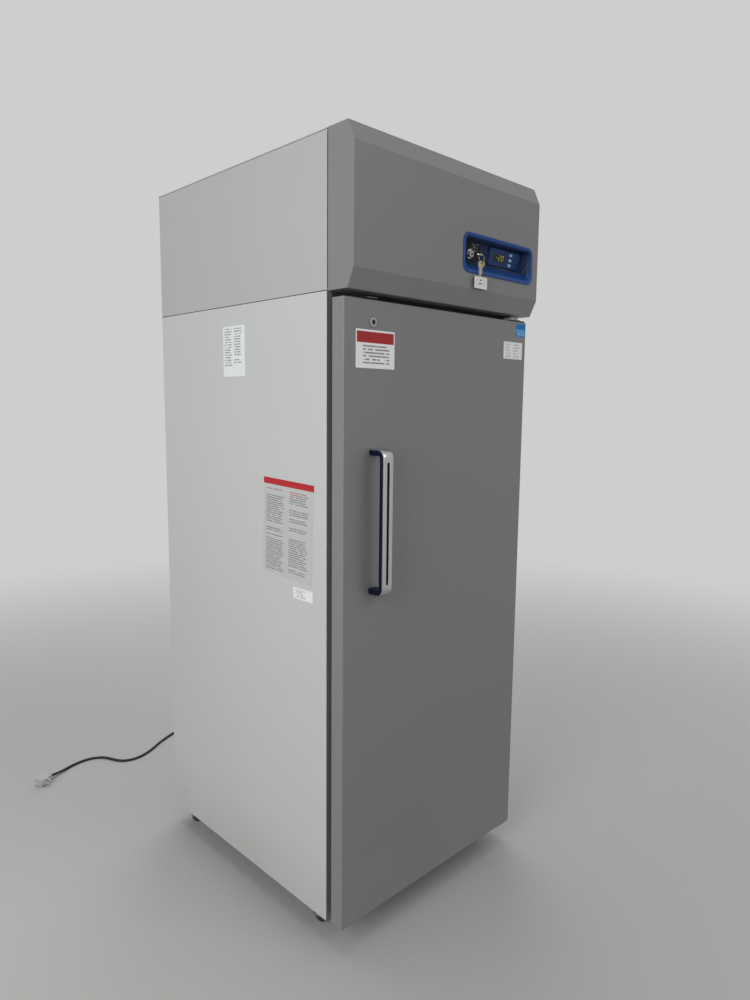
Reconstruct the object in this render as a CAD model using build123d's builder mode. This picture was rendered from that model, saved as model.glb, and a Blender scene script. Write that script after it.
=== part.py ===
from build123d import *
import os
from math import atan2, cos, pi, radians, sin, tan

# Upright laboratory freezer. One insulated cabinet with a full-height door
# stands on four casters, and a machine compartment above it holds the
# refrigeration behind a hinged hood. The front faces -Y, the floor is z = 0
# and x = 0 is the middle. All sizes are in millimetres.

os.makedirs("parts", exist_ok=True)

# Cabinet and its walls
cab_width = 711.0
cab_depth = 772.0
lower_height = 1574.0
machine_height = 351.0
floor_gap = 69.0
case_sheet = 1.2
case_flange = 15.0
breaker_thick = 3.0
side_wall = 57.0
rear_wall = 61.0
ceiling_wall = 55.0
floor_wall = 55.0
liner_sheet = 1.0
liner_corner = 12.0
base_sheet = 2.0
deck_sheet = 1.5

# Door
gasket_gap = 18.7
door_thick = 39.5
door_sheet = 1.0
door_edge_round = 2.0
door_return = 14.0
door_bottom_gap = 5.0
door_top_gap = 17.5
dyke_inset = 13.5
dyke_deep = 33.0
dyke_rim = 46.0
dyke_recess = 22.0
dyke_corner = 20.0
dyke_draft = 6.0
core_clear = 0.3

# Door gasket, a bellows with a magnet along its front
gasket_inset = 17.5
gasket_width = 24.0
gasket_foot = 2.6
gasket_bellows_width = 13.0
magnet_width = 18.0
magnet_thick = 6.0
gasket_corner = 10.0
seat_clear = 0.3

# Handle
handle_inset = 96.0
handle_rise = 252.75
handle_height = 343.0
handle_width = 31.0
handle_standoff = 51.8
strap_thick = 4.0
strap_round = 13.0
grip_thick = 8.5
grip_width = 26.0
grip_slot_width = 8.0
grip_slot_end = 26.0
screw_clear = 0.2

# Door lock and its bolt
lock_inset = 90.5
lock_drop = 50.5
lock_face_r = 11.5
lock_face_proud = 3.0
lock_barrel_r = 9.5
lock_plug_r = 6.0
plug_clear = 0.05
key_slot_long = 7.0
key_slot_wide = 1.8
bolt_travel = 12.0
bolt_width = 14.0
bolt_thick = 5.0
crank_pin_r = 2.0
crank_thick = 3.0
crank_pin_long = 4.0
yoke_play = 0.8
lock_case_wall = 1.5
lock_case_side = 8.0
bolt_clear = 0.3
strike_thick = 2.5
strike_reach = 37.0
strike_width = 34.0
strike_foot = 8.5
strike_clear = 1.0
strike_drop = 10.5

# Door hinges
pin_inset = 15.5
pin_back = 19.3
hinge_pin_r = 5.0
hinge_run = 0.05
bushing_r = 9.0
bushing_deep = 24.0
bushing_clear = 0.1
hinge_plate = 4.0
hinge_plate_width = 54.0
hinge_plate_front = 16.0
hinge_leg = 13.0
hinge_washer = 0.7
hinge_washer_r = 11.0
hinge_head = 3.0
hinge_head_r = 8.0
hinge_block_width = 30.0
hinge_block_depth = 32.0
hinge_block_height = 7.0
hinge_block_gap = 4.0
pin_end_gap = 1.0

# Hood in front of the machine compartment
hood_reach = 89.7
hood_bottom_gap = 1.5
bevel_depth = 20.0
bevel_top = 44.5
bevel_bottom = 43.6
hood_sheet = 1.5
hood_gap = 3.4
hood_axis_back = 8.0
hood_axis_drop = 6.0
hood_knuckle_r = 4.2
hood_pin_r = 2.0
hood_knuckle_long = 14.0
hood_knuckle_gap = 0.3
hood_leaf_long = 28.0
hood_leaf_sheet = 1.5
hood_hinge_inset = 100.5
hood_notch_clear = 2.0
hood_slot_long = 60.0
hood_slot_wide = 7.0
hood_slot_pitch = 82.0
hood_slots = 7

# Control recess in the hood
bezel_inset = 182.5
bezel_up = 132.5
bezel_width = 306.0
bezel_height = 100.0
bezel_corner = 22.0
bezel_rim = 12.0
bezel_proud = 3.0
bezel_wall = 2.5
rim_round_share = 0.6
pocket_corner = 12.0
fascia_top_deep = 20.0
fascia_lean = 12.0
sill_high = 24.0
sill_lip = 5.0
opening_clear = 0.5

# Display and buttons
display_dx = 55.0
display_width = 140.0
display_height = 44.0
display_thick = 3.0
display_corner = 4.0
window_dx = -23.0
window_width = 54.0
window_height = 20.0
window_thick = 2.0
button_dx = 25.0
button_pitch = 13.5
button_width = 12.0
button_height = 7.0
button_corner = 2.0
button_proud = 1.2
button_travel = 0.8
button_floor = 0.6
button_clear = 0.3

# Key switch, its key and what hangs on it
switch_dx = -95.0
switch_drop = 7.0
switch_r = 9.0
switch_proud = 10.0
switch_back = 14.0
switch_nut_r = 12.0
switch_nut = 2.5
switch_bore_r = 3.6
shank_width = 6.0
shank_gap = 11.0
key_plate = 2.0
bow_half = 10.0
bow_long = 20.0
bow_round_share = 0.6
bow_hole_r = 3.5
bow_hole_from_tip = 5.0
ring_r = 11.0
ring_wire_r = 0.7
spare_bow_r = 9.0
spare_blade_long = 17.0
spare_blade_width = 6.0
spare_turn = 45.0
tag_width = 52.0
tag_height = 30.0
tag_thick = 1.0
tag_hole_r = 2.0
tag_drop = 36.0
tag_loop_wire_r = 0.6
tag_loop_half = 2.4
tag_loop_dx = 5.5

# Machine compartment
machine_flange = 18.0
rear_inset = 8.0
louvre_long = 150.0
louvre_wide = 9.0
louvre_pitch_x = 190.0
louvre_pitch_z = 26.0
louvre_rows = 8
louvre_columns = 3
louvre_proud = 6.0
rail_height = 30.0
rail_depth = 22.0

# Condenser, fans and motors
cond_inset = 40.5
cond_box_gap = 75.0
cond_setback = 45.0
cond_height = 240.0
cond_depth = 50.0
cond_spine = 22.0
fin_pitch = 15.0
fin_thick = 2.5
shroud_depth = 24.0
fan_tip_r = 88.0
fan_hub_r = 24.0
fan_hub_long = 22.0
fan_tip_gap = 5.0
blade_thick = 2.0
blade_chord = 46.0
blade_pitch = 28.0
fan_blades = 5
blade_front_share = 0.9
blade_back_share = 0.94
motor_r = 36.0
motor_long = 52.0
motor_gap = 4.0
motor_shaft_r = 4.0
motor_bar = 12.0
motor_bar_thick = 3.0
shaft_run = 0.05
shaft_in = 16.0

# Compressor and the pipes
comp_inset = 190.5
comp_rear_gap = 272.0
comp_r = 92.0
comp_height = 205.0
comp_seam_r = 97.0
comp_seam = 8.0
comp_base_share = 0.42
comp_dome = 34.0
comp_plate_half = 88.0
comp_plate = 3.0
mount_r = 13.0
mount_high = 20.0
mount_waist_r = 8.0
mount_share = 0.84
terminal_width = 50.0
terminal_height = 46.0
terminal_depth = 24.0
stub_r = 7.0
stub_long = 14.0
pipe_r = 4.5
drier_r = 15.0
drier_long = 90.0
pipe_bend = 16.0
header_share = 0.8

# Control box and drain pan
box_inset = 35.5
box_width = 230.0
box_depth = 120.0
box_height = 120.0
box_setback = 42.0
box_sheet = 1.2
box_lid_lap = 12.0
pan_inset = 50.5
pan_width = 230.0
pan_depth = 190.0
pan_height = 45.0
pan_rear_gap = 82.0
pan_wall = 2.0
pan_draft = 6.0
pan_corner = 18.0

# Inside the storage space
pilaster_width = 22.0
pilaster_deep = 7.0
pilaster_sheet = 1.5
pilaster_front = 110.0
pilaster_back = 120.0
pilaster_end_gap = 30.0
pilaster_slot_pitch = 60.0
pilaster_slot_high = 12.0
pilaster_slot_wide = 5.0
clip_width = 14.0
clip_out = 13.0
clip_high = 16.0
clip_sheet = 3.0
shelf_count = 4
shelf_side_gap = 3.0
shelf_front_gap = 50.0
shelf_back_gap = 40.0
shelf_rod = 7.0
shelf_wire = 4.0
shelf_wires = 13
shelf_ribs = 2

# Evaporator at the ceiling
evap_height = 150.0
evap_setback = 190.0
evap_side_gap = 14.0
evap_sheet = 1.5
evap_fan_r = 62.0
evap_fan_back = 16.0
evap_corner = 8.0
evap_hub_r = 18.0
evap_hub_long = 16.0
evap_chord = 34.0
evap_motor_r = 27.0
evap_motor_long = 42.0
guard_rings = 4
guard_wire = 3.0
guard_spokes = 6
guard_hub_r = 12.0
evap_slot_long = 120.0
evap_slot_wide = 8.0
evap_slot_pitch = 20.0
evap_slot_rows = 4
evap_slot_columns = 3
evap_slot_pitch_x = 150.0
coil_side_gap = 78.5
coil_depth = 150.0
coil_back = 60.0
coil_spine = 60.0
coil_fin_pitch = 20.0
coil_drop = 24.0

# Casters
caster_inset = 52.0
caster_setback = 62.0
wheel_r = 25.0
wheel_width = 20.0
wheel_round = 4.0
hub_r = 9.0
hub_width = 22.0
axle_r = 4.0
axle_run = 0.05
caster_trail = 20.0
fork_sheet = 2.5
fork_gap = 0.6
fork_crown_r = 19.0
fork_top_gap = 4.0
fork_boss_r = 9.0
axle_head_r = 6.5
axle_head = 2.5
caster_plate = 3.0
plate_half = 30.0
plate_corner = 5.0
race_r = 17.0
race_gap = 0.3
kingpin_r = 5.0
kingpin_run = 0.05

# Mains cord with its strain relief and plug
gland_inset = 235.5
gland_rise = 57.0
cord_r = 4.5
cord_bend_share = 0.45
gland_long = 40.0
gland_base_r = 14.0
gland_tip_r = 7.0
gland_flange = 3.0
gland_flange_r = 18.0
gland_neck_r = 9.0
plug_body = 40.0
plug_width = 34.0
plug_height = 30.0
plug_round = 7.0
plug_nose = 5.0
plug_nose_r = 14.0
blade_long = 17.0
blade_wide = 6.4
blade_flat = 1.5
blade_apart = 12.7
ground_pin_r = 2.4
ground_pin_drop = 11.5
plug_relief = 16.0
plug_relief_r = 8.0

# One overrun serves every cut
overrun = 5.0

# Planes worked out from the sizes above
half_width = cab_width / 2
front_reach = gasket_gap + door_thick + handle_standoff
total_depth = front_reach + cab_depth
front_y = front_reach - total_depth / 2
rear_y = front_y + cab_depth
mid_y = (front_y + rear_y) / 2
seam_z = floor_gap + lower_height
top_z = seam_z + machine_height
inner_half = half_width - side_wall
interior_width = 2 * inner_half
interior_depth = cab_depth - rear_wall
inner_floor = floor_gap + floor_wall
inner_ceiling = seam_z - ceiling_wall
inner_height = inner_ceiling - inner_floor
inner_mid_z = (inner_ceiling + inner_floor) / 2
inner_back = rear_y - rear_wall
door_back = front_y - gasket_gap
door_front = door_back - door_thick
door_low = floor_gap + door_bottom_gap
door_high = seam_z - door_top_gap
door_height = door_high - door_low
door_mid_z = (door_high + door_low) / 2
hood_front = front_y - hood_reach
hood_low = seam_z - hood_bottom_gap


def save(piece, label):
    """Name a finished piece and write its file."""
    piece.part.label = label
    export_step(piece.part, "parts/" + label + ".step")


def bar(low, high, mode=Mode.ADD):
    """Draw a rectangle between two corners of the sketch in hand."""
    with Locations(((low[0] + high[0]) / 2, (low[1] + high[1]) / 2)):
        Rectangle(high[0] - low[0], high[1] - low[1], mode=mode)


def facing(y, x=0, z=0):
    """The upright plane at y as seen from the front: X to the right, Z up."""
    return Plane(origin=(x, y, z), x_dir=(1, 0, 0), z_dir=(0, -1, 0))


def profile(x):
    """The upright plane at x as seen from the right: Y to the right, Z up."""
    return Plane(origin=(x, 0, 0), x_dir=(0, 1, 0), z_dir=(1, 0, 0))


def level(z, x=0, y=0):
    """The flat plane at height z."""
    return Plane(origin=(x, y, z), x_dir=(1, 0, 0), z_dir=(0, 0, 1))


# The case: left, rear and right walls folded from one sheet, flanged in front
with BuildPart() as outer_case:
    with BuildSketch(level(floor_gap)):
        bar((-half_width, front_y), (half_width, rear_y))
        bar(
            (-half_width + case_sheet, front_y + case_sheet),
            (half_width - case_sheet, rear_y - case_sheet),
            Mode.SUBTRACT,
        )
        bar(
            (-half_width + case_flange, front_y),
            (half_width - case_flange, front_y + case_sheet),
            Mode.SUBTRACT,
        )
    extrude(amount=lower_height)
save(outer_case, "outer_case")

# Base pan with the casters' mounting plates and upper races welded under it
crown_low = 2 * wheel_r + fork_top_gap
crown_top = crown_low + fork_sheet
caster_places = {
    "front_left": (-half_width + caster_inset, front_y + caster_setback),
    "front_right": (half_width - caster_inset, front_y + caster_setback),
    "rear_left": (-half_width + caster_inset, rear_y - caster_setback),
    "rear_right": (half_width - caster_inset, rear_y - caster_setback),
}
with BuildPart() as base_pan:
    with BuildSketch(level(floor_gap)):
        bar(
            (-half_width + case_sheet, front_y + breaker_thick),
            (half_width - case_sheet, rear_y - case_sheet),
        )
    extrude(amount=base_sheet)
    for x, y in caster_places.values():
        with BuildSketch(level(floor_gap, x, y)):
            RectangleRounded(2 * plate_half, 2 * plate_half, plate_corner)
        extrude(amount=-caster_plate)
        with BuildSketch(level(floor_gap - caster_plate, x, y)):
            Circle(race_r)
        extrude(amount=-(floor_gap - caster_plate - crown_top - race_gap))
        with BuildSketch(level(floor_gap, x, y)):
            Circle(kingpin_r + kingpin_run)
        extrude(amount=-(floor_gap - crown_top), mode=Mode.SUBTRACT)
save(base_pan, "base_pan")

# The face the gasket closes on, flush with the case flanges
with BuildPart() as face_frame:
    with BuildSketch(facing(front_y)):
        bar((-half_width + case_flange, floor_gap), (half_width - case_flange, seam_z))
        with Locations((0, inner_mid_z)):
            RectangleRounded(interior_width, inner_height, liner_corner, mode=Mode.SUBTRACT)
    extrude(amount=-breaker_thick)
save(face_frame, "face_frame")

with BuildPart() as inner_liner:
    with BuildSketch(facing(front_y + breaker_thick)):
        with Locations((0, inner_mid_z)):
            RectangleRounded(
                interior_width + 2 * liner_sheet,
                inner_height + 2 * liner_sheet,
                liner_corner + liner_sheet,
            )
    extrude(amount=-(interior_depth - breaker_thick + liner_sheet))
    with BuildSketch(facing(front_y + breaker_thick)):
        with Locations((0, inner_mid_z)):
            RectangleRounded(interior_width, inner_height, liner_corner)
    extrude(amount=-(interior_depth - breaker_thick), mode=Mode.SUBTRACT)
save(inner_liner, "inner_liner")

with BuildPart() as foam_core:
    with BuildSketch(facing(front_y + breaker_thick)):
        bar(
            (-half_width + case_sheet, floor_gap + base_sheet),
            (half_width - case_sheet, seam_z - deck_sheet),
        )
    extrude(amount=-(cab_depth - breaker_thick - case_sheet))
    with BuildSketch(facing(front_y + breaker_thick)):
        with Locations((0, inner_mid_z)):
            RectangleRounded(
                interior_width + 2 * liner_sheet,
                inner_height + 2 * liner_sheet,
                liner_corner + liner_sheet,
            )
    extrude(amount=-(interior_depth - breaker_thick + liner_sheet), mode=Mode.SUBTRACT)
save(foam_core, "foam_core")

with BuildPart() as machine_deck:
    with BuildSketch(level(seam_z - deck_sheet)):
        bar(
            (-half_width + case_sheet, front_y + breaker_thick),
            (half_width - case_sheet, rear_y - case_sheet),
        )
    extrude(amount=deck_sheet)
save(machine_deck, "machine_deck")

# Door: a folded pan, its foam, the formed inner panel and the gasket
pin_x = half_width - pin_inset
lock_x = -half_width + lock_inset
lock_height = door_high - lock_drop
pin_y = door_back - pin_back


def dyke_form(inset):
    """The raised panel on the door's inner side, made smaller by an inset."""
    width = interior_width - 2 * dyke_inset - 2 * inset
    height = inner_height - 2 * dyke_inset - 2 * inset
    with BuildPart() as form:
        with BuildSketch(facing(door_back, 0, inner_mid_z)):
            RectangleRounded(width, height, dyke_corner)
        extrude(amount=-(dyke_deep - inset), taper=dyke_draft)
        with BuildSketch(facing(door_back + dyke_deep - inset, 0, inner_mid_z)):
            RectangleRounded(
                width - 2 * dyke_rim + 4 * inset,
                height - 2 * dyke_rim + 4 * inset,
                dyke_corner,
            )
        extrude(amount=dyke_recess, taper=dyke_draft, mode=Mode.SUBTRACT)
    return form.part


with BuildPart() as door_pan:
    with BuildSketch(facing(door_back, 0, door_mid_z)):
        Rectangle(cab_width, door_height)
    extrude(amount=door_thick)
    outer_edges = door_pan.edges().filter_by(Axis.Y) + door_pan.faces().sort_by(Axis.Y)[0].edges()
    fillet(outer_edges, radius=door_edge_round)
    with BuildSketch(facing(door_back - door_sheet, 0, door_mid_z)):
        Rectangle(cab_width - 2 * door_sheet, door_height - 2 * door_sheet)
    extrude(amount=door_thick - 2 * door_sheet, mode=Mode.SUBTRACT)
    with BuildSketch(facing(door_back, 0, door_mid_z)):
        Rectangle(cab_width - 2 * door_return, door_height - 2 * door_return)
    extrude(amount=door_sheet, mode=Mode.SUBTRACT)
    # Hinge pins above and below, the lock in front and its bolt on top
    with BuildSketch(level(door_high, pin_x, pin_y)):
        Circle(bushing_r)
    extrude(amount=-door_height, mode=Mode.SUBTRACT)
    with BuildSketch(facing(door_front, lock_x, lock_height)):
        Circle(lock_barrel_r + bolt_clear)
    extrude(amount=-2 * door_sheet, mode=Mode.SUBTRACT)

bolt_front = door_front + door_sheet + lock_case_wall + crank_thick + 2 * bolt_clear
bolt_mid_y = bolt_front + bolt_clear + bolt_thick / 2
bolt_back = bolt_front + 2 * bolt_clear + bolt_thick
case_back = bolt_back + lock_case_wall
case_half = bolt_width / 2 + lock_case_side
crank_r = bolt_travel / 2 / sin(pi / 4)
case_low = lock_height - crank_r - 2 * lock_case_side - lock_case_wall

with door_pan:
    with BuildSketch(level(door_high, lock_x, bolt_mid_y)):
        Rectangle(bolt_width + 2 * bolt_clear, bolt_thick + 2 * bolt_clear)
    extrude(amount=-2 * door_sheet, mode=Mode.SUBTRACT)
save(door_pan, "door_pan")

with BuildPart() as door_core:
    with BuildSketch(facing(door_back - door_sheet, 0, door_mid_z)):
        Rectangle(cab_width - 2 * door_sheet, door_height - 2 * door_sheet)
    extrude(amount=door_thick - 2 * door_sheet)
    add(dyke_form(door_sheet + core_clear))
    with BuildSketch(facing(door_back, 0, inner_mid_z)):
        neck_inset = dyke_inset + door_sheet + core_clear
        RectangleRounded(
            interior_width - 2 * neck_inset, inner_height - 2 * neck_inset, dyke_corner
        )
    extrude(amount=door_sheet)
    with BuildSketch(level(door_low + door_sheet, pin_x, pin_y)):
        Circle(bushing_r)
    extrude(amount=bushing_deep, mode=Mode.SUBTRACT)
    with BuildSketch(level(door_high - door_sheet, pin_x, pin_y)):
        Circle(bushing_r)
    extrude(amount=-bushing_deep, mode=Mode.SUBTRACT)
    with BuildSketch(facing(door_front + door_sheet)):
        bar((lock_x - case_half, case_low), (lock_x + case_half, door_high - door_sheet))
    extrude(amount=-(case_back - door_front - door_sheet), mode=Mode.SUBTRACT)
save(door_core, "door_core")

with BuildPart() as door_liner:
    with BuildSketch(facing(door_back, 0, door_mid_z)):
        Rectangle(cab_width - 2 * door_return, door_height - 2 * door_return)
    extrude(amount=door_sheet)
    add(dyke_form(0))
    add(dyke_form(door_sheet), mode=Mode.SUBTRACT)
    with BuildSketch(facing(door_back, 0, inner_mid_z)):
        Rectangle(interior_width - 2 * dyke_inset - 2 * door_sheet,
                  inner_height - 2 * dyke_inset - 2 * door_sheet)
    extrude(amount=door_sheet, mode=Mode.SUBTRACT)
save(door_liner, "door_liner")

seat_y = front_y - seat_clear
bellows_inset = (gasket_width - gasket_bellows_width) / 2
magnet_inset = (gasket_width - magnet_width) / 2
with BuildPart() as door_gasket:
    for inset, width, near, far in (
        (0, gasket_width, door_back, door_back + gasket_foot),
        (bellows_inset, gasket_bellows_width, door_back + gasket_foot, seat_y - magnet_thick),
        (magnet_inset, magnet_width, seat_y - magnet_thick, seat_y),
    ):
        outer_width = cab_width - 2 * (gasket_inset + inset)
        outer_height = door_height - 2 * (gasket_inset + inset)
        with BuildSketch(facing(near, 0, door_mid_z)):
            RectangleRounded(outer_width, outer_height, gasket_corner)
            Rectangle(outer_width - 2 * width, outer_height - 2 * width, mode=Mode.SUBTRACT)
        extrude(amount=near - far)
save(door_gasket, "door_gasket")

# Handle: a bright strap bent to a bridge, with a dark grip inside it
handle_x = -half_width + handle_inset
handle_mid_z = door_mid_z + handle_rise
handle_low = handle_mid_z - handle_height / 2
handle_high = handle_mid_z + handle_height / 2
strap_front = door_front - handle_standoff
with BuildPart() as handle_strap:
    with BuildSketch(profile(handle_x)):
        bar((strap_front, handle_low), (door_front, handle_high))
    extrude(amount=handle_width / 2, both=True)
    outer_corners = handle_strap.edges().filter_by(Axis.X).group_by(Axis.Y)[0]
    fillet(outer_corners, radius=strap_round)
    with BuildSketch(profile(handle_x)):
        bar(
            (strap_front + strap_thick, handle_low + strap_thick),
            (door_front + overrun, handle_high - strap_thick),
        )
        fillet(vertices().group_by(Axis.X)[0], radius=strap_round - strap_thick)
    extrude(amount=handle_width / 2, both=True, mode=Mode.SUBTRACT)
    with BuildSketch(facing(strap_front, handle_x, handle_mid_z)):
        SlotOverall(handle_height - 2 * grip_slot_end, grip_slot_width, rotation=90)
    extrude(amount=-strap_thick, mode=Mode.SUBTRACT)
save(handle_strap, "handle_strap")

with BuildPart() as handle_grip:
    grip_low = handle_low + strap_thick
    grip_high = handle_high - strap_thick
    grip_round = strap_round - strap_thick
    with BuildSketch(profile(handle_x)):
        bar((strap_front + strap_thick, grip_low), (door_front, grip_high))
        fillet(vertices().group_by(Axis.X)[0], radius=grip_round)
        bar(
            (strap_front + strap_thick + grip_thick, grip_low + grip_thick),
            (door_front + overrun, grip_high - grip_thick),
            Mode.SUBTRACT,
        )
    extrude(amount=grip_width / 2, both=True)
    inner_corners = handle_grip.edges().filter_by(Axis.X).filter_by_position(
        Axis.Y,
        strap_front + strap_thick + grip_thick / 2,
        strap_front + strap_thick + grip_thick * 2,
    ).filter_by_position(Axis.Z, grip_low + grip_thick / 2, grip_high - grip_thick / 2)
    fillet(inner_corners, radius=grip_thick)
save(handle_grip, "handle_grip")

# Lock: case in the door's top, turning plug and sliding bolt
with BuildPart() as lock_case:
    with BuildSketch(facing(door_front + door_sheet)):
        bar((lock_x - case_half, case_low), (lock_x + case_half, door_high - door_sheet))
    extrude(amount=-(case_back - door_front - door_sheet))
    with BuildSketch(facing(door_front + door_sheet + lock_case_wall)):
        bar(
            (lock_x - bolt_width / 2 - bolt_clear, case_low + lock_case_wall),
            (lock_x + bolt_width / 2 + bolt_clear, door_high - door_sheet),
        )
        bar(
            (lock_x - case_half + lock_case_wall, case_low + lock_case_wall),
            (lock_x + case_half - lock_case_wall, lock_height + crank_r + lock_case_side),
        )
    extrude(amount=-(case_back - door_front - door_sheet - 2 * lock_case_wall), mode=Mode.SUBTRACT)
    with BuildSketch(facing(door_front - lock_face_proud, lock_x, lock_height)):
        Circle(lock_face_r)
    extrude(amount=-(lock_face_proud - bolt_clear / 2))
    chamfer(lock_case.faces().sort_by(Axis.Y)[0].edges(), length=lock_face_proud / 3)
    with BuildSketch(facing(door_front - lock_face_proud / 2, lock_x, lock_height)):
        Circle(lock_barrel_r)
    extrude(amount=-(lock_face_proud / 2 + door_sheet + lock_case_wall))
    with BuildSketch(facing(door_front - lock_face_proud, lock_x, lock_height)):
        Circle(lock_plug_r + plug_clear)
    extrude(amount=-(lock_face_proud + door_sheet + lock_case_wall), mode=Mode.SUBTRACT)
save(lock_case, "lock_case")

crank_y = door_front + door_sheet + lock_case_wall + bolt_clear
with BuildPart() as lock_plug:
    with BuildSketch(facing(door_front - lock_face_proud, lock_x, lock_height)):
        Circle(lock_plug_r)
    extrude(amount=-(crank_y - door_front + lock_face_proud))
    with BuildSketch(facing(crank_y, lock_x, lock_height)):
        Circle(lock_plug_r)
        with Locations((crank_r * cos(pi / 4), -crank_r * sin(pi / 4))):
            Circle(2 * crank_pin_r)
        make_hull()
    extrude(amount=-crank_thick)
    with BuildSketch(facing(crank_y + crank_thick, lock_x, lock_height)):
        with Locations((crank_r * cos(pi / 4), -crank_r * sin(pi / 4))):
            Circle(crank_pin_r)
    extrude(amount=-(crank_pin_long + bolt_clear))
    with BuildSketch(facing(door_front - lock_face_proud, lock_x, lock_height)):
        Rectangle(key_slot_wide, key_slot_long)
    extrude(amount=-lock_face_proud, mode=Mode.SUBTRACT)
save(lock_plug, "lock_plug")

yoke_z = lock_height - crank_r * sin(pi / 4)
yoke_half = crank_pin_r + yoke_play
yoke_low = yoke_z - yoke_half - lock_case_wall
with BuildPart() as lock_bolt:
    with BuildSketch(facing(bolt_front + bolt_clear)):
        bar((lock_x - bolt_width / 2, yoke_low), (lock_x + bolt_width / 2, door_high - door_sheet))
        bar(
            (lock_x - bolt_width / 2, yoke_low),
            (lock_x + crank_r + crank_pin_r, yoke_z + yoke_half + crank_thick),
        )
        bar(
            (lock_x + crank_r * cos(pi / 4) - yoke_half, yoke_z - yoke_half),
            (lock_x + crank_r + crank_pin_r, yoke_z + yoke_half),
            Mode.SUBTRACT,
        )
    extrude(amount=-bolt_thick)
save(lock_bolt, "lock_bolt")

with BuildPart() as strike_plate:
    strike_top = seam_z - strike_drop
    with BuildSketch(profile(lock_x)):
        bar((front_y - strike_thick, strike_top - strike_thick), (front_y, strike_top + strike_foot))
        bar(
            (front_y - gasket_gap - strike_reach, strike_top - strike_thick),
            (front_y, strike_top),
        )
    extrude(amount=strike_width / 2, both=True)
    with BuildSketch(level(strike_top, lock_x, bolt_mid_y)):
        Rectangle(bolt_width + 2 * strike_clear, bolt_thick + 2 * strike_clear)
    extrude(amount=-strike_thick, mode=Mode.SUBTRACT)
save(strike_plate, "strike_plate")

# Door hinges: an angle bracket and a pin at the top and at the bottom
plate_right = half_width
plate_left = half_width - hinge_plate_width
plate_front = pin_y - hinge_plate_front
with BuildPart() as hinge_brackets:
    top_plate = door_high + hinge_washer
    bottom_plate = door_low - hinge_washer
    for low, high, leg_low, leg_high in (
        (top_plate, top_plate + hinge_plate, top_plate, top_plate + hinge_leg),
        (bottom_plate - hinge_plate, bottom_plate, bottom_plate - hinge_plate,
         bottom_plate - hinge_plate + hinge_leg),
    ):
        with BuildSketch(profile(plate_left)):
            bar((plate_front, low), (front_y, high))
            bar((front_y - hinge_plate, leg_low), (front_y, leg_high))
        extrude(amount=plate_right - plate_left)
    front_corners = hinge_brackets.edges().filter_by(Axis.Z).group_by(Axis.Y)[0]
    fillet(front_corners, radius=hinge_plate)
    for z, way in ((top_plate + hinge_plate, -1), (bottom_plate - hinge_plate, 1)):
        with BuildSketch(level(z, pin_x, pin_y)):
            Circle(hinge_pin_r)
        extrude(amount=way * (hinge_plate + hinge_washer + bushing_deep - pin_end_gap))
        with BuildSketch(level(z, pin_x, pin_y)):
            Circle(hinge_head_r)
        extrude(amount=-way * hinge_head)
save(hinge_brackets, "hinge_brackets")

with BuildPart() as hinge_bushings:
    for z, way in ((door_high, -1), (door_low, 1)):
        with BuildSketch(level(z, pin_x, pin_y)):
            Circle(bushing_r - bushing_clear)
        extrude(amount=way * bushing_deep)
        with BuildSketch(level(z, pin_x, pin_y)):
            Circle(hinge_washer_r)
        extrude(amount=-way * (hinge_washer - hinge_run))
    with BuildSketch(level(door_low - hinge_washer, pin_x, pin_y)):
        Circle(hinge_pin_r + hinge_run)
    extrude(amount=door_height + 2 * hinge_washer, mode=Mode.SUBTRACT)
save(hinge_bushings, "hinge_bushings")

with BuildPart() as hinge_block:
    block_right = pin_x - hinge_head_r - hinge_block_gap
    with BuildSketch(level(top_plate + hinge_plate)):
        bar(
            (block_right - hinge_block_width, pin_y - hinge_plate_front + hinge_block_gap),
            (block_right, pin_y - hinge_plate_front + hinge_block_gap + hinge_block_depth),
        )
    extrude(amount=hinge_block_height)
    fillet(hinge_block.edges().filter_by(Axis.Z), radius=hinge_block_gap)
save(hinge_block, "hinge_block")

# Hood: one folded sheet with bevelled edges and closed ends, open behind
hood_back = front_y - hood_gap
hood_axis_y = front_y - hood_axis_back
hood_axis_z = top_z - hood_axis_drop
bevel_y = hood_front + bevel_depth
bezel_x = half_width - bezel_inset
bezel_z = hood_low + bezel_up
hood_hinge_x = half_width - hood_hinge_inset


def hood_outline(inset):
    """The hood's section, seen from the right, drawn smaller by an inset."""
    slant = inset * tan(atan2(bevel_top, bevel_depth) / 2)
    slant_low = inset * tan(atan2(bevel_bottom, bevel_depth) / 2)
    top_run = inset * tan((pi / 2 - atan2(bevel_depth, bevel_top)) / 2)
    return [
        (hood_back, top_z - inset),
        (bevel_y + top_run, top_z - inset),
        (hood_front + inset, top_z - bevel_top - inset + slant),
        (hood_front + inset, hood_low + bevel_bottom + inset - slant_low),
        (bevel_y + top_run, hood_low + inset),
        (hood_back, hood_low + inset),
    ]


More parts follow.
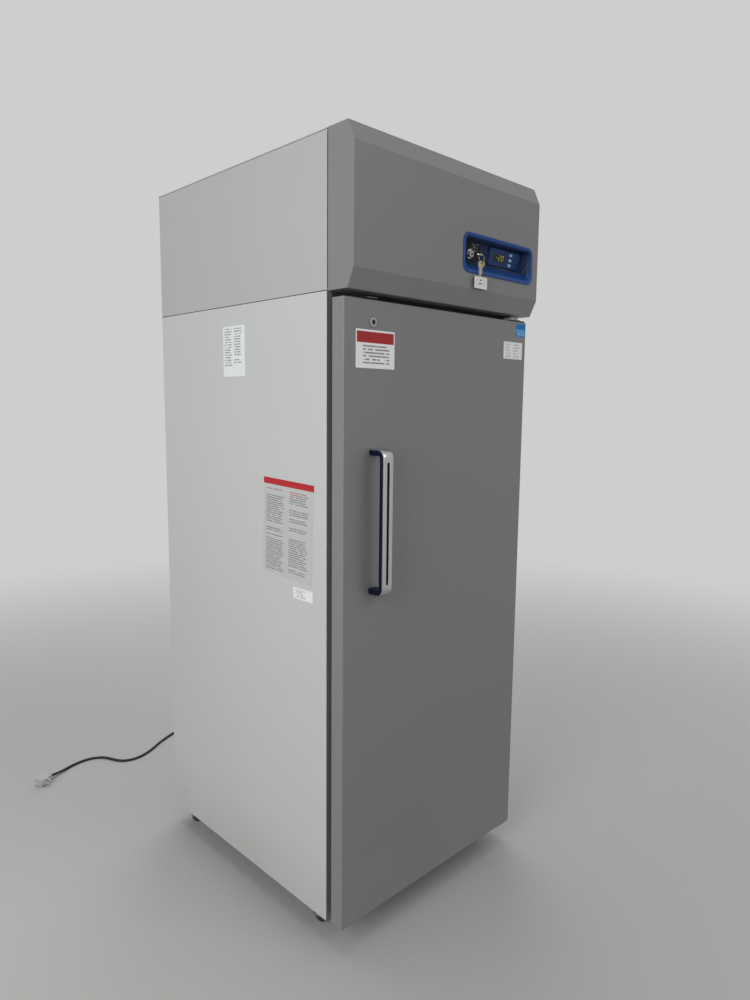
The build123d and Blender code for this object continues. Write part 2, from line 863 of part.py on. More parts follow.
with BuildPart() as hood:
    with BuildSketch(profile(0)):
        Polygon(*hood_outline(0), align=None)
    extrude(amount=half_width, both=True)
    with BuildSketch(profile(0)):
        Polygon(*hood_outline(hood_sheet), align=None)
    extrude(amount=half_width - hood_sheet, both=True, mode=Mode.SUBTRACT)
    with BuildSketch(facing(hood_front, bezel_x, bezel_z)):
        RectangleRounded(
            bezel_width - 2 * bezel_rim + 2 * bezel_wall + 2 * opening_clear,
            bezel_height - 2 * bezel_rim + 2 * bezel_wall + 2 * opening_clear,
            pocket_corner + bezel_wall + opening_clear,
        )
    extrude(amount=-2 * hood_sheet, mode=Mode.SUBTRACT)
    # Air slots in the underside, and notches over the fixed hinge knuckles
    with BuildSketch(level(hood_low, 0, (bevel_y + hood_back) / 2)):
        with GridLocations(hood_slot_pitch, hood_slot_pitch, hood_slots, 1):
            SlotOverall(hood_slot_long, hood_slot_wide)
    extrude(amount=hood_sheet, mode=Mode.SUBTRACT)
    with BuildSketch(level(top_z)):
        for x in (-hood_hinge_x, hood_hinge_x):
            bar(
                (x - hood_knuckle_long / 2 - hood_notch_clear, hood_axis_y),
                (x + hood_knuckle_long / 2 + hood_notch_clear, hood_back + overrun),
            )
    extrude(amount=-hood_sheet, mode=Mode.SUBTRACT)
save(hood, "hood")

with BuildPart() as hood_hinge_leaves:
    for x in (-hood_hinge_x, hood_hinge_x):
        knuckle_mid = hood_knuckle_long + hood_knuckle_gap
        leaf_top = top_z - hood_sheet
        leaf_half = hood_knuckle_long * 1.5 + hood_knuckle_gap
        with BuildSketch(level(leaf_top)):
            bar((x - leaf_half, hood_axis_y - hood_leaf_long), (x + leaf_half, hood_axis_y - hood_knuckle_r))
            for side in (-1, 1):
                bar(
                    (x + side * knuckle_mid - hood_knuckle_long / 2, hood_axis_y - hood_knuckle_r),
                    (x + side * knuckle_mid + hood_knuckle_long / 2, hood_axis_y),
                )
        extrude(amount=-hood_leaf_sheet)
        for side in (-1, 1):
            with BuildSketch(profile(x + side * knuckle_mid)):
                with Locations((hood_axis_y, hood_axis_z)):
                    Circle(hood_knuckle_r)
            extrude(amount=hood_knuckle_long / 2, both=True)
    with BuildSketch(profile(0)):
        with Locations((hood_axis_y, hood_axis_z)):
            Circle(hood_pin_r + hinge_run)
    extrude(amount=half_width, both=True, mode=Mode.SUBTRACT)
save(hood_hinge_leaves, "hood_hinge_leaves")

with BuildPart() as hood_hinge_brackets:
    for x in (-hood_hinge_x, hood_hinge_x):
        with BuildSketch(profile(x)):
            with Locations((hood_axis_y, hood_axis_z)):
                Circle(hood_knuckle_r)
            bar(
                (hood_axis_y, hood_axis_z - hood_knuckle_r),
                (front_y, hood_axis_z - hood_knuckle_r + hood_leaf_sheet),
            )
            bar(
                (front_y - hood_leaf_sheet, hood_axis_z - hood_knuckle_r - rail_height / 2),
                (front_y, hood_axis_z - hood_knuckle_r + hood_leaf_sheet),
            )
        extrude(amount=hood_knuckle_long / 2, both=True)
        with BuildSketch(profile(x)):
            with Locations((hood_axis_y, hood_axis_z)):
                Circle(hood_pin_r)
        extrude(amount=hood_knuckle_long * 1.5 + hood_knuckle_gap, both=True)
save(hood_hinge_brackets, "hood_hinge_brackets")

# Control recess: a moulded pocket with a leaning fascia and a sloped sill
pocket_half_h = bezel_height / 2 - bezel_rim
pocket_width = bezel_width - 2 * bezel_rim
bezel_front = hood_front - bezel_proud
lean = radians(fascia_lean)
fascia_high = 2 * pocket_half_h - sill_high
fascia_top_y = hood_front + fascia_top_deep
fascia_low_y = fascia_top_y + fascia_high * tan(lean)
pocket_outline = [
    (bezel_front - overrun, bezel_z + pocket_half_h),
    (fascia_top_y, bezel_z + pocket_half_h),
    (fascia_low_y, bezel_z - pocket_half_h + sill_high),
    (bezel_front + sill_lip, bezel_z - pocket_half_h),
    (bezel_front - overrun, bezel_z - pocket_half_h),
]
fascia_mid_y = (fascia_top_y + fascia_low_y) / 2
fascia_mid_z = bezel_z + pocket_half_h - fascia_high / 2


def fascia(dx, up, out):
    """A plane on the leaning fascia, dx right and up from its middle, out from its face."""
    origin = (
        bezel_x + dx,
        fascia_mid_y - up * sin(lean) - out * cos(lean),
        fascia_mid_z + up * cos(lean) - out * sin(lean),
    )
    return Plane(origin=origin, x_dir=(1, 0, 0), z_dir=(0, -cos(lean), -sin(lean)))


with BuildPart() as bezel_pocket:
    with BuildSketch(profile(bezel_x)):
        Polygon(*pocket_outline, align=None)
    extrude(amount=pocket_width / 2, both=True)
    with BuildSketch(facing(bezel_front - overrun, bezel_x, bezel_z)):
        RectangleRounded(pocket_width, 2 * pocket_half_h, pocket_corner)
    extrude(amount=-hood_reach, mode=Mode.INTERSECT)

with BuildPart() as control_bezel:
    with BuildSketch(profile(bezel_x)):
        Polygon(*pocket_outline, align=None)
        offset(amount=bezel_wall, kind=Kind.INTERSECTION)
        bar(
            (bezel_front - 4 * overrun, bezel_z - bezel_height),
            (bezel_front + bezel_proud / 2, bezel_z + bezel_height),
            Mode.SUBTRACT,
        )
    extrude(amount=pocket_width / 2 + bezel_wall, both=True)
    with BuildSketch(facing(bezel_front - overrun, bezel_x, bezel_z)):
        RectangleRounded(
            pocket_width + 2 * bezel_wall,
            2 * (pocket_half_h + bezel_wall),
            pocket_corner + bezel_wall,
        )
    extrude(amount=-hood_reach, mode=Mode.INTERSECT)
    with BuildSketch(facing(hood_front, bezel_x, bezel_z)):
        RectangleRounded(bezel_width, bezel_height, bezel_corner)
    extrude(amount=bezel_proud)
    rim_edges = control_bezel.faces().sort_by(Axis.Y)[0].edges()
    fillet(rim_edges, radius=bezel_proud * rim_round_share)
    add(bezel_pocket.part, mode=Mode.SUBTRACT)
    with BuildSketch(fascia(switch_dx, -switch_drop, 0)):
        Circle(switch_r + screw_clear)
    extrude(amount=-3 * bezel_wall, mode=Mode.SUBTRACT)
save(control_bezel, "control_bezel")

button_ups = [button_pitch * k for k in (1, 0, -1)]
with BuildPart() as display_module:
    with BuildSketch(fascia(display_dx, 0, 0)):
        RectangleRounded(display_width, display_height, display_corner)
    extrude(amount=display_thick)
    with BuildSketch(fascia(display_dx + window_dx, 0, display_thick)):
        Rectangle(window_width, window_height)
    extrude(amount=-window_thick, mode=Mode.SUBTRACT)
    for up in button_ups:
        with BuildSketch(fascia(display_dx + button_dx, up, display_thick)):
            RectangleRounded(
                button_width + 2 * button_clear, button_height + 2 * button_clear, button_corner
            )
        extrude(amount=-(display_thick - button_floor), mode=Mode.SUBTRACT)
save(display_module, "display_module")

with BuildPart() as display_window:
    with BuildSketch(fascia(display_dx + window_dx, 0, display_thick)):
        Rectangle(window_width - 2 * core_clear, window_height - 2 * core_clear)
    extrude(amount=-window_thick)
save(display_window, "display_window")

for number, up in enumerate(button_ups, start=1):
    with BuildPart() as panel_button:
        with BuildSketch(fascia(display_dx + button_dx, up, display_thick + button_proud)):
            RectangleRounded(button_width, button_height, button_corner - button_clear)
        extrude(amount=-(display_thick - button_floor + button_proud - button_travel - button_clear))
        fillet(panel_button.faces().sort_by(Axis.Y)[0].edges(), radius=button_proud / 3)
    save(panel_button, "button_" + str(number))

with BuildPart() as key_switch:
    with BuildSketch(fascia(switch_dx, -switch_drop, switch_proud)):
        Circle(switch_r)
    extrude(amount=-(switch_proud + bezel_wall + switch_back))
    with BuildSketch(fascia(switch_dx, -switch_drop, 0)):
        Circle(switch_nut_r)
    extrude(amount=switch_nut)
    chamfer(key_switch.faces().sort_by(Axis.Y)[0].edges(), length=switch_nut / 2)
    with BuildSketch(fascia(switch_dx, -switch_drop, switch_proud)):
        Circle(switch_bore_r)
    extrude(amount=-switch_proud, mode=Mode.SUBTRACT)
save(key_switch, "key_switch")

# The key's shank sits in the switch and its flat bow stands out level
bow_near = switch_proud + shank_gap
hole_out = bow_near + bow_long - bow_hole_from_tip
with BuildPart() as key:
    with BuildSketch(fascia(switch_dx, -switch_drop, key_plate)):
        Rectangle(shank_width, key_plate)
    extrude(amount=bow_near)
    bow_plane = Plane(
        origin=fascia(switch_dx, -switch_drop, bow_near).origin,
        x_dir=(1, 0, 0),
        z_dir=(0, sin(lean), -cos(lean)),
    )
    with BuildSketch(bow_plane):
        with Locations((0, bow_long / 2)):
            RectangleRounded(2 * bow_half, bow_long, bow_half * bow_round_share)
        with Locations((0, bow_long - bow_hole_from_tip)):
            Circle(bow_hole_r, mode=Mode.SUBTRACT)
    extrude(amount=key_plate / 2, both=True)
save(key, "key")

# A ring through the bow carries the spare key and a white card tag
hole_point = fascia(switch_dx, -switch_drop, hole_out).origin
ring_x = hole_point.X + ring_r * cos(pi / 4)
ring_z = hole_point.Z - ring_r * sin(pi / 4)
hang_y = hole_point.Y
with BuildPart() as spare_key:
    with BuildLine(facing(hang_y, ring_x, ring_z)):
        CenterArc((0, 0), ring_r, 0, 360)
    with BuildSketch(Plane(origin=(ring_x + ring_r, hang_y, ring_z), x_dir=(1, 0, 0), z_dir=(0, 0, 1))):
        Circle(ring_wire_r)
    sweep()

spare_way = radians(spare_turn)
ring_bottom = ring_z - ring_r
spare_hole_drop = spare_bow_r - bow_hole_r - key_plate / 2
spare_plane = Plane(
    origin=(ring_x, hang_y, ring_bottom),
    x_dir=(cos(spare_way), -sin(spare_way), 0),
    z_dir=(-sin(spare_way), -cos(spare_way), 0),
)
with spare_key:
    with BuildSketch(spare_plane):
        with Locations((0, -spare_hole_drop)):
            Circle(spare_bow_r)
        with Locations((0, -spare_hole_drop - spare_bow_r - spare_blade_long / 2 + key_plate / 2)):
            Rectangle(spare_blade_width, spare_blade_long)
        Circle(bow_hole_r, mode=Mode.SUBTRACT)
    extrude(amount=key_plate / 2, both=True)
save(spare_key, "spare_key")

loop_x = ring_x - tag_loop_dx
tag_top = ring_bottom - tag_drop
ring_there = ring_z - (ring_r**2 - tag_loop_dx**2) ** 0.5
loop_top = ring_there + ring_wire_r + 2 * tag_loop_wire_r
loop_low = tag_top - 2 * tag_hole_r - tag_loop_wire_r
loop_near = hang_y - tag_loop_half
loop_far = hang_y + tag_loop_half
with BuildPart() as key_tag:
    with BuildSketch(facing(hang_y + tag_thick / 2, ring_x, tag_top - tag_height / 2)):
        RectangleRounded(tag_width, tag_height, tag_hole_r)
        with Locations((-tag_loop_dx, tag_height / 2 - 2 * tag_hole_r)):
            Circle(tag_hole_r, mode=Mode.SUBTRACT)
    extrude(amount=tag_thick)
    with BuildLine(profile(loop_x)):
        Line((loop_near, loop_low + tag_loop_half), (loop_near, loop_top - tag_loop_half))
        ThreePointArc(
            (loop_near, loop_top - tag_loop_half),
            (hang_y, loop_top),
            (loop_far, loop_top - tag_loop_half),
        )
        Line((loop_far, loop_top - tag_loop_half), (loop_far, loop_low + tag_loop_half))
        ThreePointArc(
            (loop_far, loop_low + tag_loop_half),
            (hang_y, loop_low),
            (loop_near, loop_low + tag_loop_half),
        )
    with BuildSketch(level(loop_low + tag_loop_half, loop_x, loop_near)):
        Circle(tag_loop_wire_r)
    sweep()
save(key_tag, "key_tag")

# Machine compartment: flanged side panels, top panel and louvred rear panel
panel_depth = cab_depth - rear_inset - case_sheet
with BuildPart() as machine_sides:
    for side in (-1, 1):
        outer = side * half_width
        skin = outer - side * case_sheet
        edge = outer - side * machine_flange
        with BuildSketch(facing(front_y)):
            bar((min(outer, skin), seam_z), (max(outer, skin), top_z))
        extrude(amount=-cab_depth)
        with BuildSketch(facing(front_y)):
            bar((min(outer, edge), seam_z), (max(outer, edge), seam_z + case_sheet))
            bar(
                (min(outer, edge), top_z - 2 * case_sheet),
                (max(outer, edge), top_z - case_sheet),
            )
        extrude(amount=-panel_depth)
        with BuildSketch(facing(front_y)):
            bar((min(outer, edge), seam_z), (max(outer, edge), top_z - case_sheet))
        extrude(amount=-case_sheet)
        with BuildSketch(facing(rear_y - rear_inset - case_sheet)):
            bar((min(outer, edge), seam_z), (max(outer, edge), top_z - case_sheet))
        extrude(amount=case_sheet)
    seam_edges = machine_sides.edges().filter_by(Axis.Y).filter_by_position(
        Axis.Z, seam_z - case_sheet / 2, seam_z + case_sheet / 2
    )
    seam_edges = seam_edges.sort_by(Axis.X)
    chamfer([seam_edges[0], seam_edges[-1]], length=case_sheet / 2)
save(machine_sides, "machine_sides")

with BuildPart() as top_panel:
    panel_half = half_width - case_sheet
    rail_half = half_width - machine_flange
    with BuildSketch(level(top_z)):
        bar((-panel_half, front_y), (panel_half, rear_y))
    extrude(amount=-case_sheet)
    with BuildSketch(profile(0)):
        bar((front_y, top_z - rail_height), (front_y + case_sheet, top_z - case_sheet))
        bar((front_y, top_z - rail_height), (front_y + rail_depth, top_z - rail_height + case_sheet))
    extrude(amount=rail_half, both=True)
save(top_panel, "top_panel")

rear_face = rear_y - rear_inset
gland_x = half_width - gland_inset
gland_z = seam_z + gland_rise
rear_mid_z = (seam_z + top_z) / 2
with BuildPart() as rear_louvre_panel:
    with BuildSketch(facing(rear_face)):
        bar((-panel_half, seam_z), (panel_half, top_z - case_sheet))
        with Locations((0, rear_mid_z)):
            with GridLocations(louvre_pitch_x, louvre_pitch_z, louvre_columns, louvre_rows):
                Rectangle(louvre_long, louvre_wide, mode=Mode.SUBTRACT)
        with Locations((gland_x, gland_z)):
            Circle(gland_neck_r + screw_clear, mode=Mode.SUBTRACT)
    extrude(amount=case_sheet)
    for row in range(louvre_rows):
        mid_z = rear_mid_z + (row - (louvre_rows - 1) / 2) * louvre_pitch_z
        top_edge = mid_z + louvre_wide / 2
        low_edge = mid_z - louvre_wide / 2
        for column in range(louvre_columns):
            mid_x = (column - (louvre_columns - 1) / 2) * louvre_pitch_x
            with BuildSketch(profile(mid_x)):
                Polygon(
                    (rear_face - case_sheet, top_edge),
                    (rear_face - case_sheet, top_edge + case_sheet),
                    (rear_face, top_edge + case_sheet),
                    (rear_face + louvre_proud, low_edge),
                    (rear_face + louvre_proud - case_sheet, low_edge),
                    (rear_face, top_edge),
                    align=None,
                )
            extrude(amount=louvre_long / 2, both=True)
save(rear_louvre_panel, "rear_louvre_panel")


def comb_block(x, y, z, width, spine, depth, pitch, height):
    """A finned block: a solid middle with upright fins through it."""
    with BuildPart() as block:
        with BuildSketch(level(z, x, y)):
            Rectangle(width, spine)
            with GridLocations(pitch, pitch, int(width / pitch) + 1, 1):
                Rectangle(fin_thick, depth)
        extrude(amount=height)
    return block


def fan_rotor(x, y, z, tip, hub, hub_long, chord):
    """A fan facing the rear, on a shaft that reaches into its motor."""
    hub_plane = Plane(origin=(x, y, z), x_dir=(1, 0, 0), z_dir=(0, 1, 0))
    with BuildPart() as rotor:
        with BuildSketch(hub_plane):
            Circle(hub)
        extrude(amount=hub_long / 2, both=True)
        for number in range(fan_blades):
            turn = number * 360 / fan_blades
            blade_place = hub_plane.location * Location((0, 0, 0), (0, 0, turn))
            blade_plane = Plane(blade_place * Location((0, 0, 0), (blade_pitch, 0, 0)))
            root = hub - blade_thick
            with BuildSketch(blade_plane):
                Polygon(
                    (root, -chord / 4),
                    (tip * blade_front_share, -chord / 2),
                    (tip, -chord / 8),
                    (tip * blade_back_share, chord / 2),
                    (root, chord / 4),
                    align=None,
                )
            extrude(amount=blade_thick / 2, both=True)
        with BuildSketch(hub_plane.offset(hub_long / 2)):
            Circle(motor_shaft_r)
        extrude(amount=motor_gap + shaft_in)
    return rotor


def fan_motor(x, y, z, reach, body_r, body_long, plate_y):
    """A motor behind a fan, on a bar with two legs to the plate in front."""
    motor_plane = Plane(origin=(x, y, z), x_dir=(1, 0, 0), z_dir=(0, 1, 0))
    with BuildPart() as motor:
        with BuildSketch(motor_plane):
            Circle(body_r)
        extrude(amount=body_long)
        fillet(motor.edges().filter_by(GeomType.CIRCLE), radius=motor_bar_thick)
        with BuildSketch(level(z - motor_bar / 2)):
            back = y + body_long
            bar((x - reach, back), (x + reach, back + motor_bar_thick))
            bar((x - reach, plate_y), (x - reach + motor_bar_thick, back))
            bar((x + reach - motor_bar_thick, plate_y), (x + reach, back))
            bar((x - reach - motor_bar, plate_y), (x - reach, plate_y + motor_bar_thick))
            bar((x + reach, plate_y), (x + reach + motor_bar, plate_y + motor_bar_thick))
        extrude(amount=motor_bar)
        with BuildSketch(motor_plane):
            Circle(motor_shaft_r + shaft_run)
        extrude(amount=shaft_in + motor_gap, mode=Mode.SUBTRACT)
    return motor


# Condenser with its shroud, fan and motor, just behind the hood
box_x = half_width - box_inset - box_width / 2
cond_left = -half_width + cond_inset
cond_width = box_x - box_width / 2 - cond_box_gap - cond_left
cond_x = cond_left + cond_width / 2
cond_front = front_y + cond_setback
cond_mid_y = cond_front + cond_depth / 2
condenser_coil = comb_block(
    cond_x, cond_mid_y, seam_z, cond_width - fin_pitch, cond_spine, cond_depth, fin_pitch, cond_height
)
save(condenser_coil, "condenser_coil")

shroud_front = cond_front + cond_depth
shroud_back = shroud_front + shroud_depth
cond_mid_z = seam_z + cond_height / 2
with BuildPart() as fan_shroud:
    with BuildSketch(facing(shroud_front)):
        bar((cond_x - cond_width / 2, seam_z), (cond_x + cond_width / 2, seam_z + cond_height))
    extrude(amount=-shroud_depth)
    offset(amount=-case_sheet, openings=fan_shroud.faces().sort_by(Axis.Y)[0])
    with BuildSketch(facing(shroud_back, cond_x, cond_mid_z)):
        Circle(fan_tip_r + fan_tip_gap)
    extrude(amount=case_sheet, mode=Mode.SUBTRACT)
save(fan_shroud, "fan_shroud")

fan_mid_y = shroud_back + fan_hub_long / 2
condenser_fan = fan_rotor(
    cond_x, fan_mid_y, cond_mid_z, fan_tip_r, fan_hub_r, fan_hub_long, blade_chord
)
save(condenser_fan, "condenser_fan")
condenser_motor = fan_motor(
    cond_x,
    fan_mid_y + fan_hub_long / 2 + motor_gap,
    cond_mid_z,
    fan_tip_r + 2 * fan_tip_gap + motor_bar_thick,
    motor_r,
    motor_long,
    shroud_back,
)
save(condenser_motor, "condenser_motor")

# Compressor: a welded steel shell on four rubber feet
comp_x = half_width - comp_inset
comp_y = rear_y - comp_rear_gap
plate_low = seam_z + mount_high
shell_low = plate_low + comp_plate
shell_top = shell_low + comp_height
foot_at = comp_plate_half * mount_share
with BuildPart() as compressor:
    with BuildSketch(level(shell_low, comp_x, comp_y)):
        Circle(comp_r)
    extrude(amount=comp_height)
    fillet(compressor.edges().group_by(Axis.Z)[-1], radius=comp_dome)
    fillet(compressor.edges().group_by(Axis.Z)[0], radius=comp_dome / 2)
    with BuildSketch(level(shell_low + comp_height * comp_base_share, comp_x, comp_y)):
        Circle(comp_seam_r)
    extrude(amount=comp_seam)
    with BuildSketch(level(plate_low, comp_x, comp_y)):
        RectangleRounded(2 * comp_plate_half, 2 * comp_plate_half, mount_r)
    extrude(amount=comp_plate)
    with BuildSketch(level(shell_top - comp_dome, comp_x, comp_y)):
        with Locations((-comp_r / 3, 0), (comp_r / 3, 0)):
            Circle(stub_r)
    extrude(amount=comp_dome + stub_long)
    # Rubber feet under the plate's corners
    with BuildSketch(level(seam_z, comp_x, comp_y)):
        with GridLocations(2 * foot_at, 2 * foot_at, 2, 2):
            Circle(mount_r)
    extrude(amount=mount_high)
    with BuildSketch(level(plate_low + comp_plate, comp_x, comp_y)):
        with GridLocations(2 * foot_at, 2 * foot_at, 2, 2):
            Circle(mount_waist_r)
    extrude(amount=mount_waist_r / 2)
    # Terminal cover on the front of the shell
    with BuildSketch(facing(comp_y, comp_x, shell_low + comp_height / 2)):
        RectangleRounded(terminal_width, terminal_height, pan_wall)
    extrude(amount=comp_r + terminal_depth)
save(compressor, "compressor")


def tube(points, radius, bend):
    """A round tube along straight runs joined by equal bends."""
    with BuildPart() as run:
        with BuildLine() as route:
            FilletPolyline(*points, radius=bend)
        with BuildSketch(Plane(origin=route.line @ 0, z_dir=route.line % 0)):
            Circle(radius)
        sweep()
    return run.part


cond_right = cond_x + (cond_width - fin_pitch) / 2 + fin_thick / 2
stub_top = shell_top + stub_long
discharge_x = comp_x - comp_r / 3
suction_x = comp_x + comp_r / 3
drier_x = cond_right + 3 * drier_r
drier_near = shroud_back + motor_r
liquid_z = seam_z + cond_height / 4
suction_y = comp_y + comp_seam_r + 2 * stub_r + pipe_r
with BuildPart() as refrigerant_pipes:
    # Hot gas from the compressor to the condenser
    add(tube(
        [
            (discharge_x, comp_y, stub_top),
            (discharge_x, comp_y, stub_top + 2 * pipe_bend),
            (discharge_x, cond_mid_y, stub_top + 2 * pipe_bend),
            (discharge_x, cond_mid_y, seam_z + cond_height * header_share),
            (cond_right, cond_mid_y, seam_z + cond_height * header_share),
        ],
        pipe_r,
        pipe_bend,
    ))
    # Liquid from the condenser through the drier and down through the deck
    add(tube(
        [
            (cond_right, cond_mid_y, liquid_z),
            (drier_x, cond_mid_y, liquid_z),
            (drier_x, drier_near, liquid_z),
        ],
        pipe_r,
        pipe_bend,
    ))
    with BuildSketch(Plane(origin=(drier_x, drier_near, liquid_z), x_dir=(1, 0, 0), z_dir=(0, 1, 0))):
        Circle(drier_r)
    extrude(amount=drier_long)
    chamfer(refrigerant_pipes.edges().filter_by(GeomType.CIRCLE).filter_by(
        lambda edge: abs(edge.radius - drier_r) < screw_clear), length=drier_r - pipe_r - screw_clear)
    add(tube(
        [
            (drier_x, drier_near + drier_long, liquid_z),
            (drier_x, drier_near + drier_long + 2 * pipe_bend, liquid_z),
            (drier_x, drier_near + drier_long + 2 * pipe_bend, seam_z),
        ],
        pipe_r,
        pipe_bend,
    ))
    # Cold gas back up from the deck to the compressor
    add(tube(
        [
            (suction_x, comp_y, stub_top),
            (suction_x, comp_y, stub_top + 2 * pipe_bend),
            (suction_x, suction_y, stub_top + 2 * pipe_bend),
            (suction_x, suction_y, seam_z),
        ],
        pipe_r,
        pipe_bend,
    ))
save(refrigerant_pipes, "refrigerant_pipes")

box_front = front_y + box_setback
with BuildPart() as control_box:
    with BuildSketch(level(seam_z, box_x, box_front + box_depth / 2)):
        RectangleRounded(box_width, box_depth, 2 * box_sheet)
    extrude(amount=box_height)
    chamfer(control_box.edges().group_by(Axis.Z)[-1], length=box_sheet)
    # A lid laps over the top
    with BuildSketch(level(seam_z + box_height - box_lid_lap, box_x, box_front + box_depth / 2)):
        RectangleRounded(box_width + 2 * box_sheet, box_depth + 2 * box_sheet, 3 * box_sheet)
    extrude(amount=box_lid_lap + box_sheet)
save(control_box, "control_box")

with BuildPart() as drain_pan:
    pan_x = -half_width + pan_inset + pan_width / 2
    pan_y = rear_y - pan_rear_gap - pan_depth / 2
    with BuildSketch(level(seam_z, pan_x, pan_y)):
        RectangleRounded(pan_width, pan_depth, pan_corner)
    extrude(amount=pan_height, taper=-pan_draft)
    with BuildSketch(level(seam_z + pan_wall, pan_x, pan_y)):
        RectangleRounded(pan_width - 2 * pan_wall, pan_depth - 2 * pan_wall, pan_corner - pan_wall)
    extrude(amount=pan_height, taper=-pan_draft, mode=Mode.SUBTRACT)
save(drain_pan, "drain_pan")

# Shelf supports: four slotted uprights, each with a clip under every shelf
evap_low = inner_ceiling - evap_height
bay_height = (evap_low - inner_floor) / (shelf_count + 1)
shelf_levels = [inner_floor + bay_height * (k + 1) for k in range(shelf_count)]
upright_low = inner_floor + pilaster_end_gap
upright_high = evap_low - pilaster_end_gap
slot_count = int((upright_high - upright_low) / pilaster_slot_pitch)
with BuildPart() as shelf_supports:
    for side in (-1, 1):
        wall_x = side * inner_half
        web_x = wall_x - side * pilaster_deep
        for y in (front_y + pilaster_front, inner_back - pilaster_back):
            with BuildSketch(level(upright_low)):
                bar(
                    (min(wall_x, web_x), y - pilaster_width / 2),
                    (max(wall_x, web_x), y + pilaster_width / 2),
                )
                inside = web_x + side * pilaster_sheet
                bar(
                    (min(wall_x, inside), y - pilaster_width / 2 + pilaster_sheet),
                    (max(wall_x, inside), y + pilaster_width / 2 - pilaster_sheet),
                    Mode.SUBTRACT,
                )
            extrude(amount=upright_high - upright_low)
            with BuildSketch(profile(web_x)):
                with Locations((y, (upright_low + upright_high) / 2)):
                    with GridLocations(pilaster_width, pilaster_slot_pitch, 1, slot_count):
                        Rectangle(pilaster_slot_wide, pilaster_slot_high)
            extrude(amount=side * pilaster_sheet, mode=Mode.SUBTRACT)
            for z in shelf_levels:
                tip_x = web_x - side * clip_out
                back_x = web_x - side * clip_sheet
                with BuildSketch(facing(y + clip_width / 2)):
                    bar((min(web_x, tip_x), z - clip_sheet), (max(web_x, tip_x), z))
                    bar((min(web_x, back_x), z - clip_high), (max(web_x, back_x), z))
                extrude(amount=clip_width)
save(shelf_supports, "shelf_supports")

# Wire shelves: a rod frame with wires across and ribs below
shelf_half = inner_half - pilaster_deep - shelf_side_gap
shelf_near = front_y + shelf_front_gap
shelf_far = inner_back - shelf_back_gap
shelf_mid_y = (shelf_near + shelf_far) / 2
wire_pitch = (2 * shelf_half - shelf_rod) / (shelf_wires + 1)
with BuildPart() as wire_shelves:
    for z in shelf_levels:
        with BuildSketch(level(z)):
            bar((-shelf_half, shelf_near), (shelf_half, shelf_far))
            bar(
                (-shelf_half + shelf_rod, shelf_near + shelf_rod),
                (shelf_half - shelf_rod, shelf_far - shelf_rod),
                Mode.SUBTRACT,
            )
        extrude(amount=shelf_rod)
        with BuildSketch(level(z, 0, shelf_mid_y)):
            with GridLocations(wire_pitch, (shelf_far - shelf_near) / (shelf_ribs + 1), 1, shelf_ribs):
                Rectangle(2 * (shelf_half - shelf_rod / 2), shelf_wire)
        extrude(amount=shelf_rod - shelf_wire)
        with BuildSketch(level(z + shelf_rod, 0, shelf_mid_y)):
            with GridLocations(wire_pitch, wire_pitch, shelf_wires, 1):
                Rectangle(shelf_wire, shelf_far - shelf_near - shelf_rod)
        extrude(amount=-shelf_wire)
save(wire_shelves, "wire_shelves")

# Evaporator under the ceiling: cover with a moulded grille, coil, fan, motor
evap_front = front_y + evap_setback
evap_half = inner_half - evap_side_gap
evap_mid_z = evap_low + evap_height / 2
with BuildPart() as evaporator_cover:
    with BuildSketch(profile(0)):
        bar((evap_front, evap_low), (inner_back, inner_ceiling))
    extrude(amount=evap_half, both=True)
    fillet(evaporator_cover.faces().sort_by(Axis.Z)[0].edges().sort_by(Axis.Y)[0], radius=evap_corner)
    top_and_back = [
        evaporator_cover.faces().sort_by(Axis.Z)[-1],
        evaporator_cover.faces().sort_by(Axis.Y)[-1],
    ]
    offset(amount=-evap_sheet, openings=top_and_back)
    with BuildSketch(facing(evap_front, 0, evap_mid_z)):
        Circle(evap_fan_r)
    extrude(amount=-evap_sheet, mode=Mode.SUBTRACT)
    with BuildSketch(facing(evap_front, 0, evap_mid_z)):
        ring_step = (evap_fan_r - guard_hub_r) / guard_rings
        for number in range(guard_rings - 1, 0, -1):
            Circle(guard_hub_r + ring_step * number + guard_wire / 2)
            Circle(guard_hub_r + ring_step * number - guard_wire / 2, mode=Mode.SUBTRACT)
        Circle(guard_hub_r)
        with PolarLocations(evap_fan_r / 2, guard_spokes):
            Rectangle(evap_fan_r + guard_wire, guard_wire)
    extrude(amount=-evap_sheet)
    with BuildSketch(level(evap_low, 0, (evap_front + inner_back) / 2)):
        with GridLocations(evap_slot_pitch_x, evap_slot_pitch, evap_slot_columns, evap_slot_rows):
            SlotOverall(evap_slot_long, evap_slot_wide)
    extrude(amount=evap_sheet, mode=Mode.SUBTRACT)
save(evaporator_cover, "evaporator_cover")

coil_width = 2 * (inner_half - coil_side_gap)
coil_y = inner_back - coil_back - coil_depth / 2
evaporator_coil = comb_block(
    0,
    coil_y,
    evap_low + coil_drop,
    coil_width,
    coil_spine,
    coil_depth,
    coil_fin_pitch,
    evap_height - coil_drop,
)
save(evaporator_coil, "evaporator_coil")

evap_fan_y = evap_front + evap_fan_back
evaporator_fan = fan_rotor(
    0, evap_fan_y, evap_mid_z, evap_fan_r - fan_tip_gap, evap_hub_r, evap_hub_long, evap_chord
)
save(evaporator_fan, "evaporator_fan")
evaporator_motor = fan_motor(
    0,
    evap_fan_y + evap_hub_long / 2 + motor_gap,
    evap_mid_z,
    evap_fan_r + 2 * motor_bar_thick,
    evap_motor_r,
    evap_motor_long,
    evap_front + evap_sheet,
)
save(evaporator_motor, "evaporator_motor")

